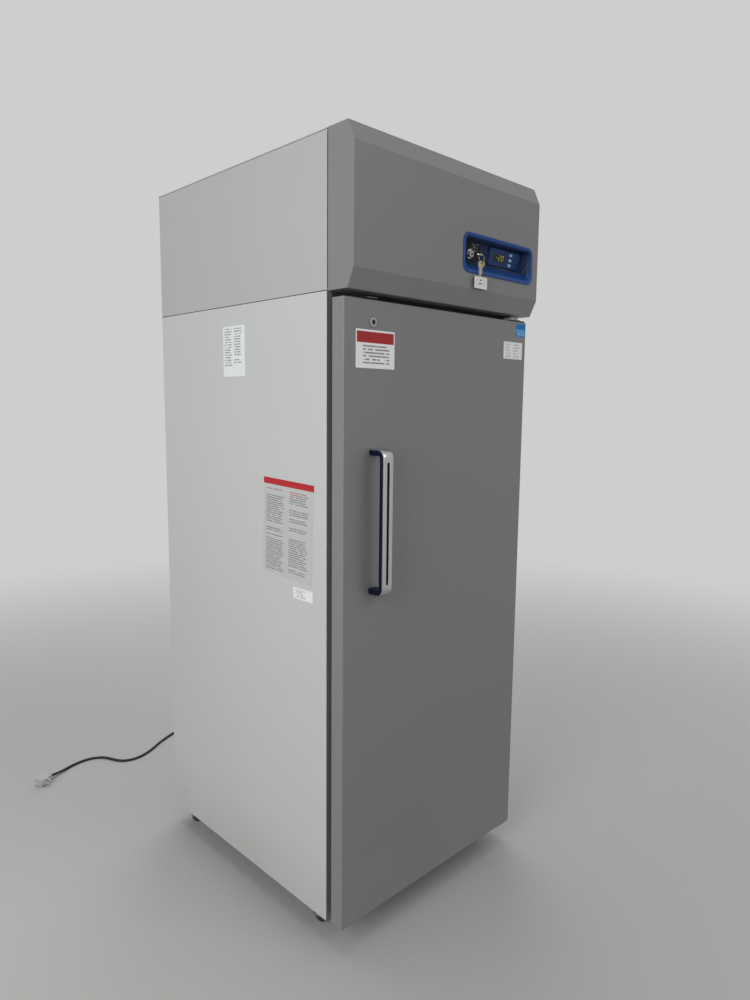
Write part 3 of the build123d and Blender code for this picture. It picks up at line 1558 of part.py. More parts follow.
# Casters: swivelling forks with their axles, and wheels
cheek_in = hub_width / 2 + fork_gap
for corner, (x, y) in caster_places.items():
    axle_y = y + caster_trail
    with BuildPart() as caster_fork:
        with BuildSketch(level(crown_low, x, y)):
            Circle(fork_crown_r)
        extrude(amount=fork_sheet)
        with BuildSketch(level(crown_top, x, y)):
            Circle(kingpin_r)
        extrude(amount=floor_gap - crown_top - race_gap)
        for side in (-1, 1):
            with BuildSketch(profile(x + side * cheek_in)):
                with Locations((axle_y, wheel_r)):
                    Circle(fork_boss_r)
                bar((y - fork_boss_r, crown_low - fork_sheet), (y + fork_boss_r, crown_top))
                make_hull()
            extrude(amount=side * fork_sheet)
            with BuildSketch(profile(x + side * (cheek_in + fork_sheet))):
                with Locations((axle_y, wheel_r)):
                    Circle(axle_head_r)
            extrude(amount=side * axle_head)
        with BuildSketch(profile(x)):
            with Locations((axle_y, wheel_r)):
                Circle(axle_r)
        extrude(amount=cheek_in + fork_sheet, both=True)
    save(caster_fork, "caster_fork_" + corner)
    with BuildPart() as caster_wheel:
        with BuildSketch(profile(x)):
            with Locations((axle_y, wheel_r)):
                Circle(wheel_r)
        extrude(amount=wheel_width / 2, both=True)
        fillet(caster_wheel.edges().filter_by(GeomType.CIRCLE), radius=wheel_round)
        with BuildSketch(profile(x)):
            with Locations((axle_y, wheel_r)):
                Circle(hub_r)
        extrude(amount=hub_width / 2, both=True)
        with BuildSketch(profile(x)):
            with Locations((axle_y, wheel_r)):
                Circle(axle_r + axle_run)
        extrude(amount=hub_width, both=True, mode=Mode.SUBTRACT)
    save(caster_wheel, "caster_wheel_" + corner)

# Mains cord: a tapered strain relief, the lead and a right-angle plug
gland_face = rear_face
with BuildPart() as cord_gland:
    gland_plane = Plane(origin=(gland_x, gland_face, gland_z), x_dir=(1, 0, 0), z_dir=(0, 1, 0))
    with BuildSketch(gland_plane.offset(-2 * case_sheet)):
        Circle(gland_neck_r)
    extrude(amount=2 * case_sheet)
    with BuildSketch(gland_plane):
        Circle(gland_flange_r)
    extrude(amount=gland_flange)
    with BuildSketch(gland_plane.offset(gland_flange)):
        Circle(gland_base_r)
    with BuildSketch(gland_plane.offset(gland_flange + gland_long)):
        Circle(gland_tip_r)
    loft()
save(cord_gland, "cord_gland")

# The lead's own route, chosen by eye: down the back, over the floor, to the plug
cord_start_y = gland_face + gland_flange + gland_long
# Each step gives the way right of the strain relief, the way behind the rear wall
# and the height over the floor as a share of the strain relief's height
cord_steps = [
    (0.0, 69.0, 1.0),
    (-1.0, 102.0, 0.9906),
    (-2.0, 125.0, 0.9693),
    (-3.0, 134.0, 0.941),
    (-4.0, 137.0, 0.8997),
    (-5.0, 138.0, 0.8219),
    (-6.0, 140.0, 0.744),
    (-7.0, 143.0, 0.6662),
    (-8.0, 147.0, 0.5889),
    (-10.0, 152.0, 0.5122),
    (-12.0, 158.0, 0.4362),
    (-14.0, 165.0, 0.3607),
    (-16.0, 174.0, 0.2863),
    (-18.0, 186.0, 0.2156),
    (-20.0, 204.0, 0.1519),
    (-21.0, 231.0, 0.0964),
    (-22.0, 271.0, 0.0504),
    (-23.0, 327.0, 0.0174),
    (-25.0, 397.0, 0.0),
    (-28.0, 459.0, 0.0),
    (-42.0, 521.0, 0.0),
    (-82.0, 571.0, 0.0),
    (-150.0, 593.0, 0.0),
    (-249.0, 546.0, 0.0),
    (-315.0, 502.0, 0.0),
    (-377.0, 481.0, 0.0),
    (-424.0, 493.0, 0.0),
    (-449.0, 527.0, 0.0),
    (-470.0, 581.0, 0.0),
    (-520.0, 607.0, 0.0),
    (-582.0, 599.0, 0.0003),
    (-640.0, 571.0, 0.0021),
    (-680.0, 555.0, 0.0062),
]
cord_drop = gland_z - cord_r
cord_points = [(gland_x, cord_start_y, gland_z)] + [
    (gland_x + right, rear_y + behind, cord_r + cord_drop * height_share)
    for right, behind, height_share in cord_steps
]
legs = [
    Vector(*far) - Vector(*near) for near, far in zip(cord_points[:-1], cord_points[1:])
]
cord_bends = [
    cord_bend_share * min(before.length, after.length) / tan(radians(before.get_angle(after)) / 2)
    for before, after in zip(legs[:-1], legs[1:])
]
with BuildPart() as mains_cord:
    with BuildLine() as cord_route:
        FilletPolyline(*cord_points, radius=cord_bends)
    with BuildSketch(Plane(origin=cord_route.line @ 0, z_dir=cord_route.line % 0)):
        Circle(cord_r)
    sweep()
cord_length = sum(edge.length for edge in cord_route.line.edges())
save(mains_cord, "mains_cord")
print("cord length", round(cord_length), "tightest bend", round(min(cord_bends)))
print("cord bends", [round(bend) for bend in cord_bends])
cord_volume = pi * cord_r**2 * cord_length
print("cord volume over section times length", round(mains_cord.part.volume / cord_volume, 5))

# Plug: the lead enters its end and the blades stand out of its side
plug_end = Vector(*cord_points[-1])
plug_way = Vector(legs[-1].X, legs[-1].Y, 0).normalized()
plug_side = Vector(0, 0, 1).cross(plug_way)
with BuildPart() as mains_plug:
    lead_plane = Plane(origin=plug_end, x_dir=plug_side, z_dir=legs[-1])
    with BuildSketch(lead_plane):
        Circle(cord_r + bushing_clear)
    body_plane = Plane(origin=plug_end + plug_way * plug_relief, x_dir=plug_side, z_dir=plug_way)
    with BuildSketch(body_plane):
        Circle(plug_relief_r)
    loft()
    with BuildSketch(body_plane):
        with Locations((0, 0)):
            RectangleRounded(plug_width, plug_height, plug_round)
    extrude(amount=plug_body)
    fillet(mains_plug.faces().sort_by(Axis((0, 0, 0), plug_way))[-1].edges(), radius=plug_round / 2)
    nose_centre = plug_end + plug_way * (plug_relief + plug_body / 2) + plug_side * (plug_width / 2)
    nose_plane = Plane(origin=nose_centre, x_dir=plug_way, z_dir=plug_side)
    with BuildSketch(nose_plane):
        Circle(plug_nose_r)
    extrude(amount=plug_nose)
    with BuildSketch(nose_plane.offset(plug_nose)):
        with Locations((-blade_apart / 2, 0), (blade_apart / 2, 0)):
            Rectangle(blade_flat, blade_wide)
        with Locations((0, -ground_pin_drop)):
            Circle(ground_pin_r)
    extrude(amount=blade_long)
save(mains_plug, "mains_plug")
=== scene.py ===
"""Dresses the upright laboratory freezer: finishes, labels, coils, shelves and mains lead."""

import logging
import math
from dataclasses import KW_ONLY, dataclass
from enum import Enum
from typing import Callable, ClassVar

import bmesh
import bpy
from mathutils import Matrix, Vector


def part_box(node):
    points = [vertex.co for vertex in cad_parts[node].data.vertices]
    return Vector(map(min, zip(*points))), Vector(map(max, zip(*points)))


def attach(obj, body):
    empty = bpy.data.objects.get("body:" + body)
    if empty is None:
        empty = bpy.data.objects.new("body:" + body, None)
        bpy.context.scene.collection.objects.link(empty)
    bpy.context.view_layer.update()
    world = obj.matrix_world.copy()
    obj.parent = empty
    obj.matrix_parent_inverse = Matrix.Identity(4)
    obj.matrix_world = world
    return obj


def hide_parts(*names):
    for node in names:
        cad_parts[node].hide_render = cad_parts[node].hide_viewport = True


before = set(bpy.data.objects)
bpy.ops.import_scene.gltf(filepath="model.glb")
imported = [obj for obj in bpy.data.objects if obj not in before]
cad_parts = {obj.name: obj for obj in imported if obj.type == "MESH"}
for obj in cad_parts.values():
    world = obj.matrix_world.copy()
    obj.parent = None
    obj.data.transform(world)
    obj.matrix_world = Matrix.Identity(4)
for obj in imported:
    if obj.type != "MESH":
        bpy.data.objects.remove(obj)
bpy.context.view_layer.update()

log = logging.getLogger("freezer")

MM = 0.001
HOOD_LEAN = math.radians(12.0)
BACKDROP = (0.62, 0.62, 0.61)
SQUARE = ((-1, -1), (1, -1), (1, 1), (-1, 1))
CASTER_CORNERS = ("front_left", "front_right", "rear_left", "rear_right")

Colour = tuple[float, float, float]
Triple = tuple[float, float, float]
Pair = tuple[float, float]
Counts = tuple[int, int, int]
Piece = bpy.types.Object


def both_ways(operation: str) -> tuple[Callable, Callable]:
    """Makes an operator's method for fields, and its reflected form for a number on the left.

    Args:
        operation: The maths node's operation, such as "ADD".

    Returns:
        The method and the reflected method.
    """
    def plain(self: "Field", other: "Operand") -> "Field":
        """Joins this field with the right operand."""
        return self.join(operation, self, other)

    def reflected(self: "Field", other: "Operand") -> "Field":
        """Joins the left operand with this field."""
        return self.join(operation, other, self)

    return plain, reflected


def spread(value: "Operand") -> "Operand":
    """Spreads a plain number over the three places of a vector."""
    return (value, value, value) if isinstance(value, (int, float)) else value


class Field:
    """A node's output socket, on which Python's operators add the fitting maths nodes."""

    __add__, __radd__ = both_ways("ADD")
    __sub__, __rsub__ = both_ways("SUBTRACT")
    __mul__, __rmul__ = both_ways("MULTIPLY")
    __truediv__, __rtruediv__ = both_ways("DIVIDE")
    __mod__, __rmod__ = both_ways("MODULO")

    def __init__(self, graph: "Graph", socket: bpy.types.NodeSocket) -> None:
        """Wraps one output socket of a node tree."""
        self.graph = graph
        self.socket = socket

    def join(self, operation: str, first: "Operand", second: "Operand" = 0.0) -> "Field":
        """Adds one maths node for numbers or for vectors.

        Args:
            operation: The node's operation, such as "ADD".
            first: The left operand.
            second: The right operand, where the operation has one.

        Returns:
            The node's result.
        """
        kind = "ShaderNodeMath"
        if self.socket.type == "VECTOR":
            kind = "ShaderNodeVectorMath"
            first, second = spread(first), spread(second)
        return self.graph.node(kind, {"operation": operation}, {0: first, 1: second})

    def __abs__(self) -> "Field":
        """Gives the size without its sign."""
        return self.join("ABSOLUTE", self)

    def __lt__(self, other: "Operand") -> "Field":
        """Is one where this field is the smaller, and zero elsewhere."""
        return self.join("LESS_THAN", self, other)

    def __gt__(self, other: "Operand") -> "Field":
        """Is one where this field is the larger, and zero elsewhere."""
        return self.join("GREATER_THAN", self, other)

    def floor(self) -> "Field":
        """Rounds down to a whole number."""
        return self.join("FLOOR", self)

    def fraction(self) -> "Field":
        """Gives the part after the decimal point."""
        return self.join("FRACT", self)

    def largest(self, other: "Operand") -> "Field":
        """Gives the larger of two operands."""
        return self.join("MAXIMUM", self, other)

    def length(self) -> "Field":
        """Gives a vector's length."""
        return self.graph.node("ShaderNodeVectorMath", {"operation": "LENGTH"}, {0: self}, 1)

    def axis(self, index: int) -> "Field":
        """Gives a vector's coordinate along X, Y or Z, which are 0, 1 and 2."""
        return self.graph.node("ShaderNodeSeparateXYZ", {}, {0: self}, index)


Operand = Field | float | int | Triple


class Graph:
    """A node tree that is built by one method and by expressions on fields."""

    def __init__(self, tree: bpy.types.NodeTree) -> None:
        """Wraps an empty node tree."""
        self.tree = tree

    def feed(self, socket: bpy.types.NodeSocket, value: Operand) -> None:
        """Links a field to a socket, or sets the socket's own value.

        Args:
            socket: The input to fill.
            value: A field, a colour without its alpha, or another constant.
        """
        if isinstance(value, Field):
            self.tree.links.new(value.socket, socket)
        elif socket.type == "RGBA":
            socket.default_value = (*value, 1.0)
        else:
            socket.default_value = value

    def node(
        self, kind: str, settings: dict | None = None, inputs: dict | None = None,
        output: int | str = 0,
    ) -> Field:
        """Adds a node.

        Args:
            kind: The node's type.
            settings: Its properties, set first.
            inputs: Values or fields for its sockets, by name or index.
            output: Which output to give back.

        Returns:
            The chosen output as a field.
        """
        node = self.tree.nodes.new(kind)
        for name, value in (settings or {}).items():
            setattr(node, name, value)
        for key, value in (inputs or {}).items():
            self.feed(node.inputs[key], value)
        return Field(self, node.outputs[output])

    def shown_rays(self) -> Field:
        """Gives 1 on rays from the camera, and on those that metal or glass passes on.

        Returns:
            1 on such a ray and 0 on any other.
        """
        path = self.tree.nodes.new("ShaderNodeLightPath").outputs
        mirrored = Field(self, path["Is Glossy Ray"])
        through = Field(self, path["Is Transmission Ray"])
        return Field(self, path["Is Camera Ray"]).largest(mirrored).largest(through)


@dataclass(frozen=True)
class Pattern:
    """A noise pattern's features per metre, and how many finer layers it has."""

    scale: float
    detail: float


class Shader(Graph):
    """A material's node tree around one Principled shader."""

    def __init__(self, name: str) -> None:
        """Starts a material that has only its shader and its output.

        Args:
            name: The material's name.
        """
        self.material = bpy.data.materials.new(name)
        self.material.use_nodes = True
        super().__init__(self.material.node_tree)
        self.tree.nodes.clear()
        self.surface = self.tree.nodes.new("ShaderNodeBsdfPrincipled")
        self.end = self.tree.nodes.new("ShaderNodeOutputMaterial")
        self.tree.links.new(self.surface.outputs[0], self.end.inputs["Surface"])

    def set(self, **sockets: Operand) -> None:
        """Sets the shader's sockets by name, where an underscore stands for a space."""
        for name, value in sockets.items():
            self.feed(self.surface.inputs[name.replace("_", " ")], value)

    def point(self) -> Field:
        """Gives the surface point in the object's own metres."""
        return self.node("ShaderNodeTexCoord", {}, {}, "Object")

    def sheet_point(self) -> Field:
        """Gives the place on a flat piece by its own UV map."""
        return self.node("ShaderNodeTexCoord", {}, {}, "UV")

    def noise(self, where: Operand, pattern: Pattern) -> Field:
        """Gives smooth noise from 0 to 1 at a point."""
        sockets = {"Vector": where, "Scale": pattern.scale, "Detail": pattern.detail}
        return self.node("ShaderNodeTexNoise", {}, sockets)

    def cells(self, where: Operand, scale: float, output: str) -> Field:
        """Gives the "Distance" from a cell's middle or its random "Color", by cells per metre."""
        return self.node("ShaderNodeTexVoronoi", {}, {"Vector": where, "Scale": scale}, output)

    def rise(self, value: Operand, low: float, high: float) -> Field:
        """Goes smoothly from 0 where the value is low to 1 where it is high."""
        sockets = {"Value": value, "From Min": low, "From Max": high}
        return self.node("ShaderNodeMapRange", {"interpolation_type": "SMOOTHSTEP"}, sockets)

    def patches(self, where: Operand, pattern: Pattern, edges: Pair) -> Field:
        """Gives patches of noise, which rise from 0 to 1 between two of its values."""
        return self.rise(self.noise(where, pattern), *edges)

    def mix(self, share: Operand, first: Operand, second: Operand) -> Field:
        """Mixes two colours, from the first where the share is 0 to the second where it is 1."""
        return self.node("ShaderNodeMix", {"data_type": "RGBA"}, {0: share, 6: first, 7: second}, 2)

    def relief(self, height: Field, depth: float, strength: float) -> None:
        """Gives the surface a fine relief of some depth in metres, shown at some strength."""
        sockets = {"Height": height, "Distance": depth, "Strength": strength}
        self.set(Normal=self.node("ShaderNodeBump", {}, sockets))


def shade(colour: Colour, share: float) -> Colour:
    """Makes a colour darker or lighter by a share of its brightness, kept in range."""
    return tuple(min(1.0, channel * share) for channel in colour)


Layers = tuple[Field, Operand, Field]


@dataclass(frozen=True)
class Finish:
    """What every finish has: a name, a base colour, its roughness and one material."""

    name: str
    colour: Colour
    roughness: float = 0.5

    made: ClassVar[dict[str, bpy.types.Material]] = {}

    def tones(self, shader: Shader, share: Field, tones: Pair) -> Field:
        """Runs the base colour from one tone to another, given as shares of its brightness."""
        return shader.mix(share, shade(self.colour, tones[0]), shade(self.colour, tones[1]))

    def material(self) -> bpy.types.Material:
        """Gives the finish's material, made on its first use.

        Returns:
            The material.
        """
        if self.name not in Finish.made:
            shader = Shader(self.name)
            self.paint(shader)
            Finish.made[self.name] = shader.material
        return Finish.made[self.name]


@dataclass(frozen=True)
class Surface(Finish):
    """A finish that is painted from three layers: its colour, its gloss and its relief."""

    _: KW_ONLY
    specular: float = 0.5
    relief: Pair = (0.02 * MM, 0.4)

    metallic: ClassVar[float] = 0.0

    def paint(self, shader: Shader) -> None:
        """Turns the layers into the material's nodes.

        Args:
            shader: The material's nodes.
        """
        colour, gloss, height = self.layers(shader, shader.point())
        shader.set(
            Base_Color=colour,
            Metallic=self.metallic,
            Roughness=self.roughness + gloss,
            Specular_IOR_Level=self.specular,
        )
        shader.relief(height, *self.relief)


@dataclass(frozen=True)
class Enamel(Surface):
    """Baked enamel on sheet steel, with a fine peel, faint clouding and dust near the floor."""

    roughness: float = 0.42
    dust: Colour = (0.30, 0.29, 0.27)
    dust_share: float = 0.35
    _: KW_ONLY
    dust_heights: Pair = (0.06, 0.30)
    dust_gloss: float = 0.3
    clouds: Pattern = Pattern(1.7, 3.0)
    cloud_tones: Pair = (0.965, 1.035)
    smears: Pattern = Pattern(7.0, 5.0)
    smear_gloss: float = 0.16
    peel: Pattern = Pattern(420.0, 1.0)
    specular: float = 0.35
    relief: Pair = (0.02 * MM, 0.5)

    def layers(self, shader: Shader, where: Field) -> Layers:
        """Gives the enamel's clouded colour, its smears and its peel.

        Args:
            shader: The material's nodes.
            where: The surface point.

        Returns:
            The colour, what the roughness gains, and the relief's height.
        """
        colour = self.tones(shader, shader.noise(where, self.clouds), self.cloud_tones)
        smears = shader.noise(where, self.smears)
        settled = (1 - shader.rise(where.axis(2), *self.dust_heights)) * smears * self.dust_share
        gloss = (smears - 0.5) * self.smear_gloss + settled * self.dust_gloss
        return shader.mix(settled, colour, self.dust), gloss, shader.noise(where, self.peel)


@dataclass(frozen=True)
class FramedEnamel(Enamel):
    """Baked enamel whose front flange behind the door takes the door's darker grey, as painted shade
    in the gap beside the door.
    """

    _: KW_ONLY
    flange: float = -0.3302
    flange_shade_colour: Colour = (0.18, 0.184, 0.182)

    def layers(self, shader: Shader, where: Field) -> Layers:
        """Gives the enamel's layers, with painted shade in the door's grey on the flange."""
        colour, gloss, height = super().layers(shader, where)
        # Painted shade: the flange in the gap beside the door is darkened to the door's grey.
        return shader.mix(where.axis(1) < self.flange, colour, self.flange_shade_colour), gloss, height


@dataclass(frozen=True)
class Metal(Surface):
    """Bare or plated metal, with a grain along one direction or spangled crystals."""

    grain: Triple = (300.0, 300.0, 300.0)
    grain_share: float = 0.12
    _: KW_ONLY
    spangle: float = 0.0
    spangle_share: float = 0.5
    spangle_tone: float = 0.72
    tarnish: Colour = (0.35, 0.33, 0.30)
    tarnish_share: float = 0.12
    stains: Pattern = Pattern(22.0, 5.0)
    stain_edges: Pair = (0.52, 0.80)
    stain_gloss: float = 0.12
    lines: Pattern = Pattern(1.0, 3.0)
    line_tone: float = 1.05

    metallic: ClassVar[float] = 1.0

    def layers(self, shader: Shader, where: Field) -> Layers:
        """Gives the metal's grained colour, its stains and its grain.

        Args:
            shader: The material's nodes.
            where: The surface point.

        Returns:
            The colour, what the roughness gains, and the relief's height.
        """
        lines = shader.noise(where * self.grain, self.lines)
        stains = shader.patches(where, self.stains, self.stain_edges)
        colour = self.tones(shader, lines, (1 - self.grain_share, self.line_tone))
        if self.spangle:
            crystal = shader.cells(where, self.spangle, "Color").axis(0) * self.spangle_share
            colour = shader.mix(crystal, colour, shade(self.colour, self.spangle_tone))
        gloss = (lines - 0.5) * self.grain_share + stains * self.stain_gloss
        return shader.mix(stains * self.tarnish_share, colour, self.tarnish), gloss, lines


@dataclass(frozen=True)
class Plastic(Surface):
    """Moulded plastic with a spark-eroded texture and light scuffs."""

    roughness: float = 0.45
    scuff: float = 0.10
    _: KW_ONLY
    scuffs: Pattern = Pattern(1.0, 4.0)
    scuff_grain: Triple = (180.0, 240.0, 40.0)
    scuff_edges: Pair = (0.60, 0.78)
    scuff_tone: float = 1.7
    mottle: Pattern = Pattern(28.0, 4.0)
    mottle_tones: Pair = (0.94, 1.06)
    mottle_gloss: float = 0.10
    texture: Pattern = Pattern(1100.0, 2.0)
    specular: float = 0.35
    relief: Pair = (0.03 * MM, 0.5)

    def layers(self, shader: Shader, where: Field) -> Layers:
        """Gives the moulding's mottled colour, its scuffs and its texture.

        Args:
            shader: The material's nodes.
            where: The surface point.

        Returns:
            The colour, what the roughness gains, and the relief's height.
        """
        mottle = shader.noise(where, self.mottle)
        scuffs = shader.patches(where * self.scuff_grain, self.scuffs, self.scuff_edges) * self.scuff
        colour = self.tones(shader, mottle, self.mottle_tones)
        worn = shader.mix(scuffs, colour, shade(self.colour, self.scuff_tone))
        gloss = (mottle - 0.5) * self.mottle_gloss + scuffs
        return worn, gloss, shader.noise(where, self.texture)


@dataclass(frozen=True)
class ShadedRecessPlastic(Plastic):
    """Moulded plastic with painted shade in its recess, darker than its lip and its sill."""

    _: KW_ONLY
    lip_to_floor: Pair = (-0.4235, -0.4200)
    sill: Pair = (1.742, 1.760)
    recess_shade: float = 0.26

    def layers(self, shader: Shader, where: Field) -> Layers:
        """Gives the plastic's layers, with painted shade from the lip inwards and above the sill.

        Args:
            shader: The material's nodes.
            where: The surface point.

        Returns:
            The colour, what the roughness gains, and the relief's height.
        """
        colour, gloss, height = super().layers(shader, where)
        inward = shader.rise(where.axis(1), *self.lip_to_floor)
        above = shader.rise(where.axis(2), *self.sill)
        # Painted shade: the recess is darkened where its rim hides the light.
        return shader.mix(inward * above, colour, shade(self.colour, self.recess_shade)), gloss, height


@dataclass(frozen=True)
class Rubber(Surface):
    """Matt rubber or soft vinyl with a faint bloom."""

    roughness: float = 0.72
    _: KW_ONLY
    bloom: Pattern = Pattern(35.0, 4.0)
    bloom_edges: Pair = (0.45, 0.85)
    bloom_share: float = 0.25
    bloom_paler: float = 0.05
    grain: Pattern = Pattern(900.0, 2.0)
    grain_gloss: float = 0.15
    specular: float = 0.35
    relief: Pair = (0.04 * MM, 0.5)

    def layers(self, shader: Shader, where: Field) -> Layers:
        """Gives the rubber's bloom and its grain.

        Args:
            shader: The material's nodes.
            where: The surface point.

        Returns:
            The colour, what the roughness gains, and the relief's height.
        """
        grain = shader.noise(where, self.grain)
        bloom = shader.patches(where, self.bloom, self.bloom_edges) * self.bloom_share
        pale = tuple(channel + self.bloom_paler for channel in self.colour)
        return shader.mix(bloom, self.colour, pale), (grain - 0.5) * self.grain_gloss, grain


@dataclass(frozen=True)
class Foam(Surface):
    """Rigid insulation foam with small closed cells."""

    roughness: float = 0.9
    _: KW_ONLY
    cell_scale: float = 900.0
    cell_tones: Pair = (1.05, 0.80)
    relief: Pair = (0.4 * MM, 0.7)

    def layers(self, shader: Shader, where: Field) -> Layers:
        """Gives the foam's cells, as its colour and its relief."""
        cell = shader.cells(where, self.cell_scale, "Distance")
        return self.tones(shader, cell, self.cell_tones), 0.0, cell


@dataclass(frozen=True)
class Print(Surface):
    """Label stock with a plain band and rows of uneven dashes in place of words.

    Places and sizes are shares of the label's width or height.
    """

    roughness: float = 0.6
    _: KW_ONLY
    band: Colour = (0.42, 0.010, 0.016)
    band_low: float = 1.0
    border: float = 0.0
    rows: int = 9
    columns: int = 1
    gutter: float = 0.05
    text_left: float = 0.07
    text_right: float = 0.93
    text_low: float = 0.07
    text_high: float = 0.93
    ink: Colour = (0.06, 0.06, 0.07)
    ink_share: float = 0.8
    stroke: float = 0.24
    words: float = 9.0
    gaps: float = 0.42
    ragged: float = 0.0
    blank: float = 0.0
    heading: Colour = (0.06, 0.06, 0.07)
    heading_low: float = 1.0
    column_key: float = 17.3
    row_steps: Pair = (0.61, 4.3)
    dash_step: float = 3.7
    row_noise: Pattern = Pattern(1.0, 0.0)
    dash_noise: Pattern = Pattern(1.0, 1.0)
    fibre: Pattern = Pattern(380.0, 3.0)
    fibre_share: float = 0.10
    fibre_tone: float = 0.7
    fibre_gloss: float = 0.08
    specular: float = 0.18

    def layers(self, shader: Shader, where: Field) -> Layers:
        """Gives the band and the rows of dashes on the label's UV map, and its fibres.

        Args:
            shader: The material's nodes.
            where: The surface point.

        Returns:
            The colour, what the roughness gains, and the relief's height.
        """
        place = shader.sheet_point()
        across, up = place.axis(0), place.axis(1)
        left, low = self.text_left, self.text_low
        lanes = (across - left) * (self.columns / (self.text_right - left))
        lines = (up - low) * (self.rows / (self.text_high - low))
        column = lanes.fraction()
        line_key = lines.floor() + lanes.floor() * self.column_key
        bar = abs(lines.fraction() - 0.5) < self.stroke
        inside = abs(column - 0.5) < 0.5 - self.gutter
        within = (across > left) * (across < self.text_right) * (up > low) * (up < self.text_high)
        kept = self._kept_rows(shader, column, line_key) * self._dashes(shader, column, line_key)
        ink = bar * inside * within * kept * self.ink_share
        middle = (self.band_low + 1 - self.border) / 2
        half = (1 - self.border - self.band_low) / 2
        band = (abs(up - middle) < half) * (abs(across - 0.5) < 0.5 - self.border / 2)
        fibre = shader.noise(where, self.fibre)
        stock = shader.mix(band, self.colour, self.band)
        paper = shader.mix(fibre * self.fibre_share, stock, shade(self.colour, self.fibre_tone))
        tint = shader.mix(up > self.heading_low, self.ink, self.heading)
        return shader.mix(ink, paper, tint), fibre * self.fibre_gloss, fibre

    def _kept_rows(self, shader: Shader, column: Field, line_key: Field) -> Field:
        """Ends rows unevenly and leaves some of them blank, as between paragraphs.

        Args:
            shader: The material's nodes.
            column: The place across one column, from 0 to 1.
            line_key: A number that differs from row to row.

        Returns:
            One where the row may be printed.
        """
        step, lane = self.row_steps
        spot = shader.node("ShaderNodeCombineXYZ", {}, {0: line_key * step, 1: lane})
        chance = shader.noise(spot, self.row_noise)
        return (column < 1.0 - chance * self.ragged) * (chance > self.blank)

    def _dashes(self, shader: Shader, column: Field, line_key: Field) -> Field:
        """Breaks a row into dashes of uneven length.

        Args:
            shader: The material's nodes.
            column: The place across one column, from 0 to 1.
            line_key: A number that differs from row to row.

        Returns:
            One inside a dash and zero between dashes.
        """
        places = {0: column * self.words, 1: line_key * self.dash_step}
        spot = shader.node("ShaderNodeCombineXYZ", {}, places)
        return shader.noise(spot, self.dash_noise) > self.gaps


@dataclass(frozen=True)
class Glow(Finish):
    """A lit segment behind a dark lens."""

    strength: float = 0.42
    unlit_tone: float = 0.5
    grain: Pattern = Pattern(2500.0, 1.0)
    grain_share: float = 0.3
    grain_tone: float = 0.6

    def paint(self, shader: Shader) -> None:
        """Builds the segment's even light with a slightly dimmer grain.

        Args:
            shader: The material's nodes.
        """
        grain = shader.noise(shader.point(), self.grain) * self.grain_share
        shader.set(
            Base_Color=shade(self.colour, self.unlit_tone),
            Roughness=self.roughness,
            Emission_Color=self.tones(shader, grain, (1.0, self.grain_tone)),
            Emission_Strength=self.strength,
        )


@dataclass(frozen=True)
class Ground(Finish):
    """The studio's plain pale floor."""

    roughness: float = 0.85
    specks: Pattern = Pattern(60.0, 3.0)
    speck_tones: Pair = (0.98, 1.02)
    fade: Pair = (1.2, 4.8)

    def paint(self, shader: Shader) -> None:
        """Builds an even, matt floor that runs into the backdrop far from the freezer.

        Args:
            shader: The material's nodes.
        """
        where = shader.point()
        speck = shader.noise(where, self.specks)
        colour = self.tones(shader, speck, self.speck_tones)
        shader.set(Base_Color=colour, Roughness=self.roughness)
        far = shader.rise(where.length(), *self.fade) * shader.shown_rays()
        glow = shader.node("ShaderNodeEmission", {}, {"Color": BACKDROP, "Strength": 1.0})
        floor = Field(shader, shader.surface.outputs[0])
        both = shader.node("ShaderNodeMixShader", {}, {0: far, 1: floor, 2: glow})
        shader.tree.links.new(both.socket, shader.end.inputs["Surface"])


def add_object(name: str, data: bpy.types.ID) -> Piece:
    """Puts a new object with its data into the scene.

    Args:
        name: The object's name.
        data: Its mesh, curve, lamp or camera.

    Returns:
        The object at the origin.
    """
    thing = bpy.data.objects.new(name, data)
    bpy.context.scene.collection.objects.link(thing)
    return thing


def soften(thing: Piece, angle: float = 35.0) -> Piece:
    """Shades a mesh smooth and keeps the edges hard that turn by more than an angle.

    Args:
        thing: The mesh object.
        angle: The angle in degrees.

    Returns:
        The same object.
    """
    thing.data.shade_smooth()
    thing.data.set_sharp_from_angle(angle=math.radians(angle))
    return thing


def circle(count: int) -> list[float]:
    """Gives equal steps round a full circle, in radians."""
    return [math.tau * step / count for step in range(count)]


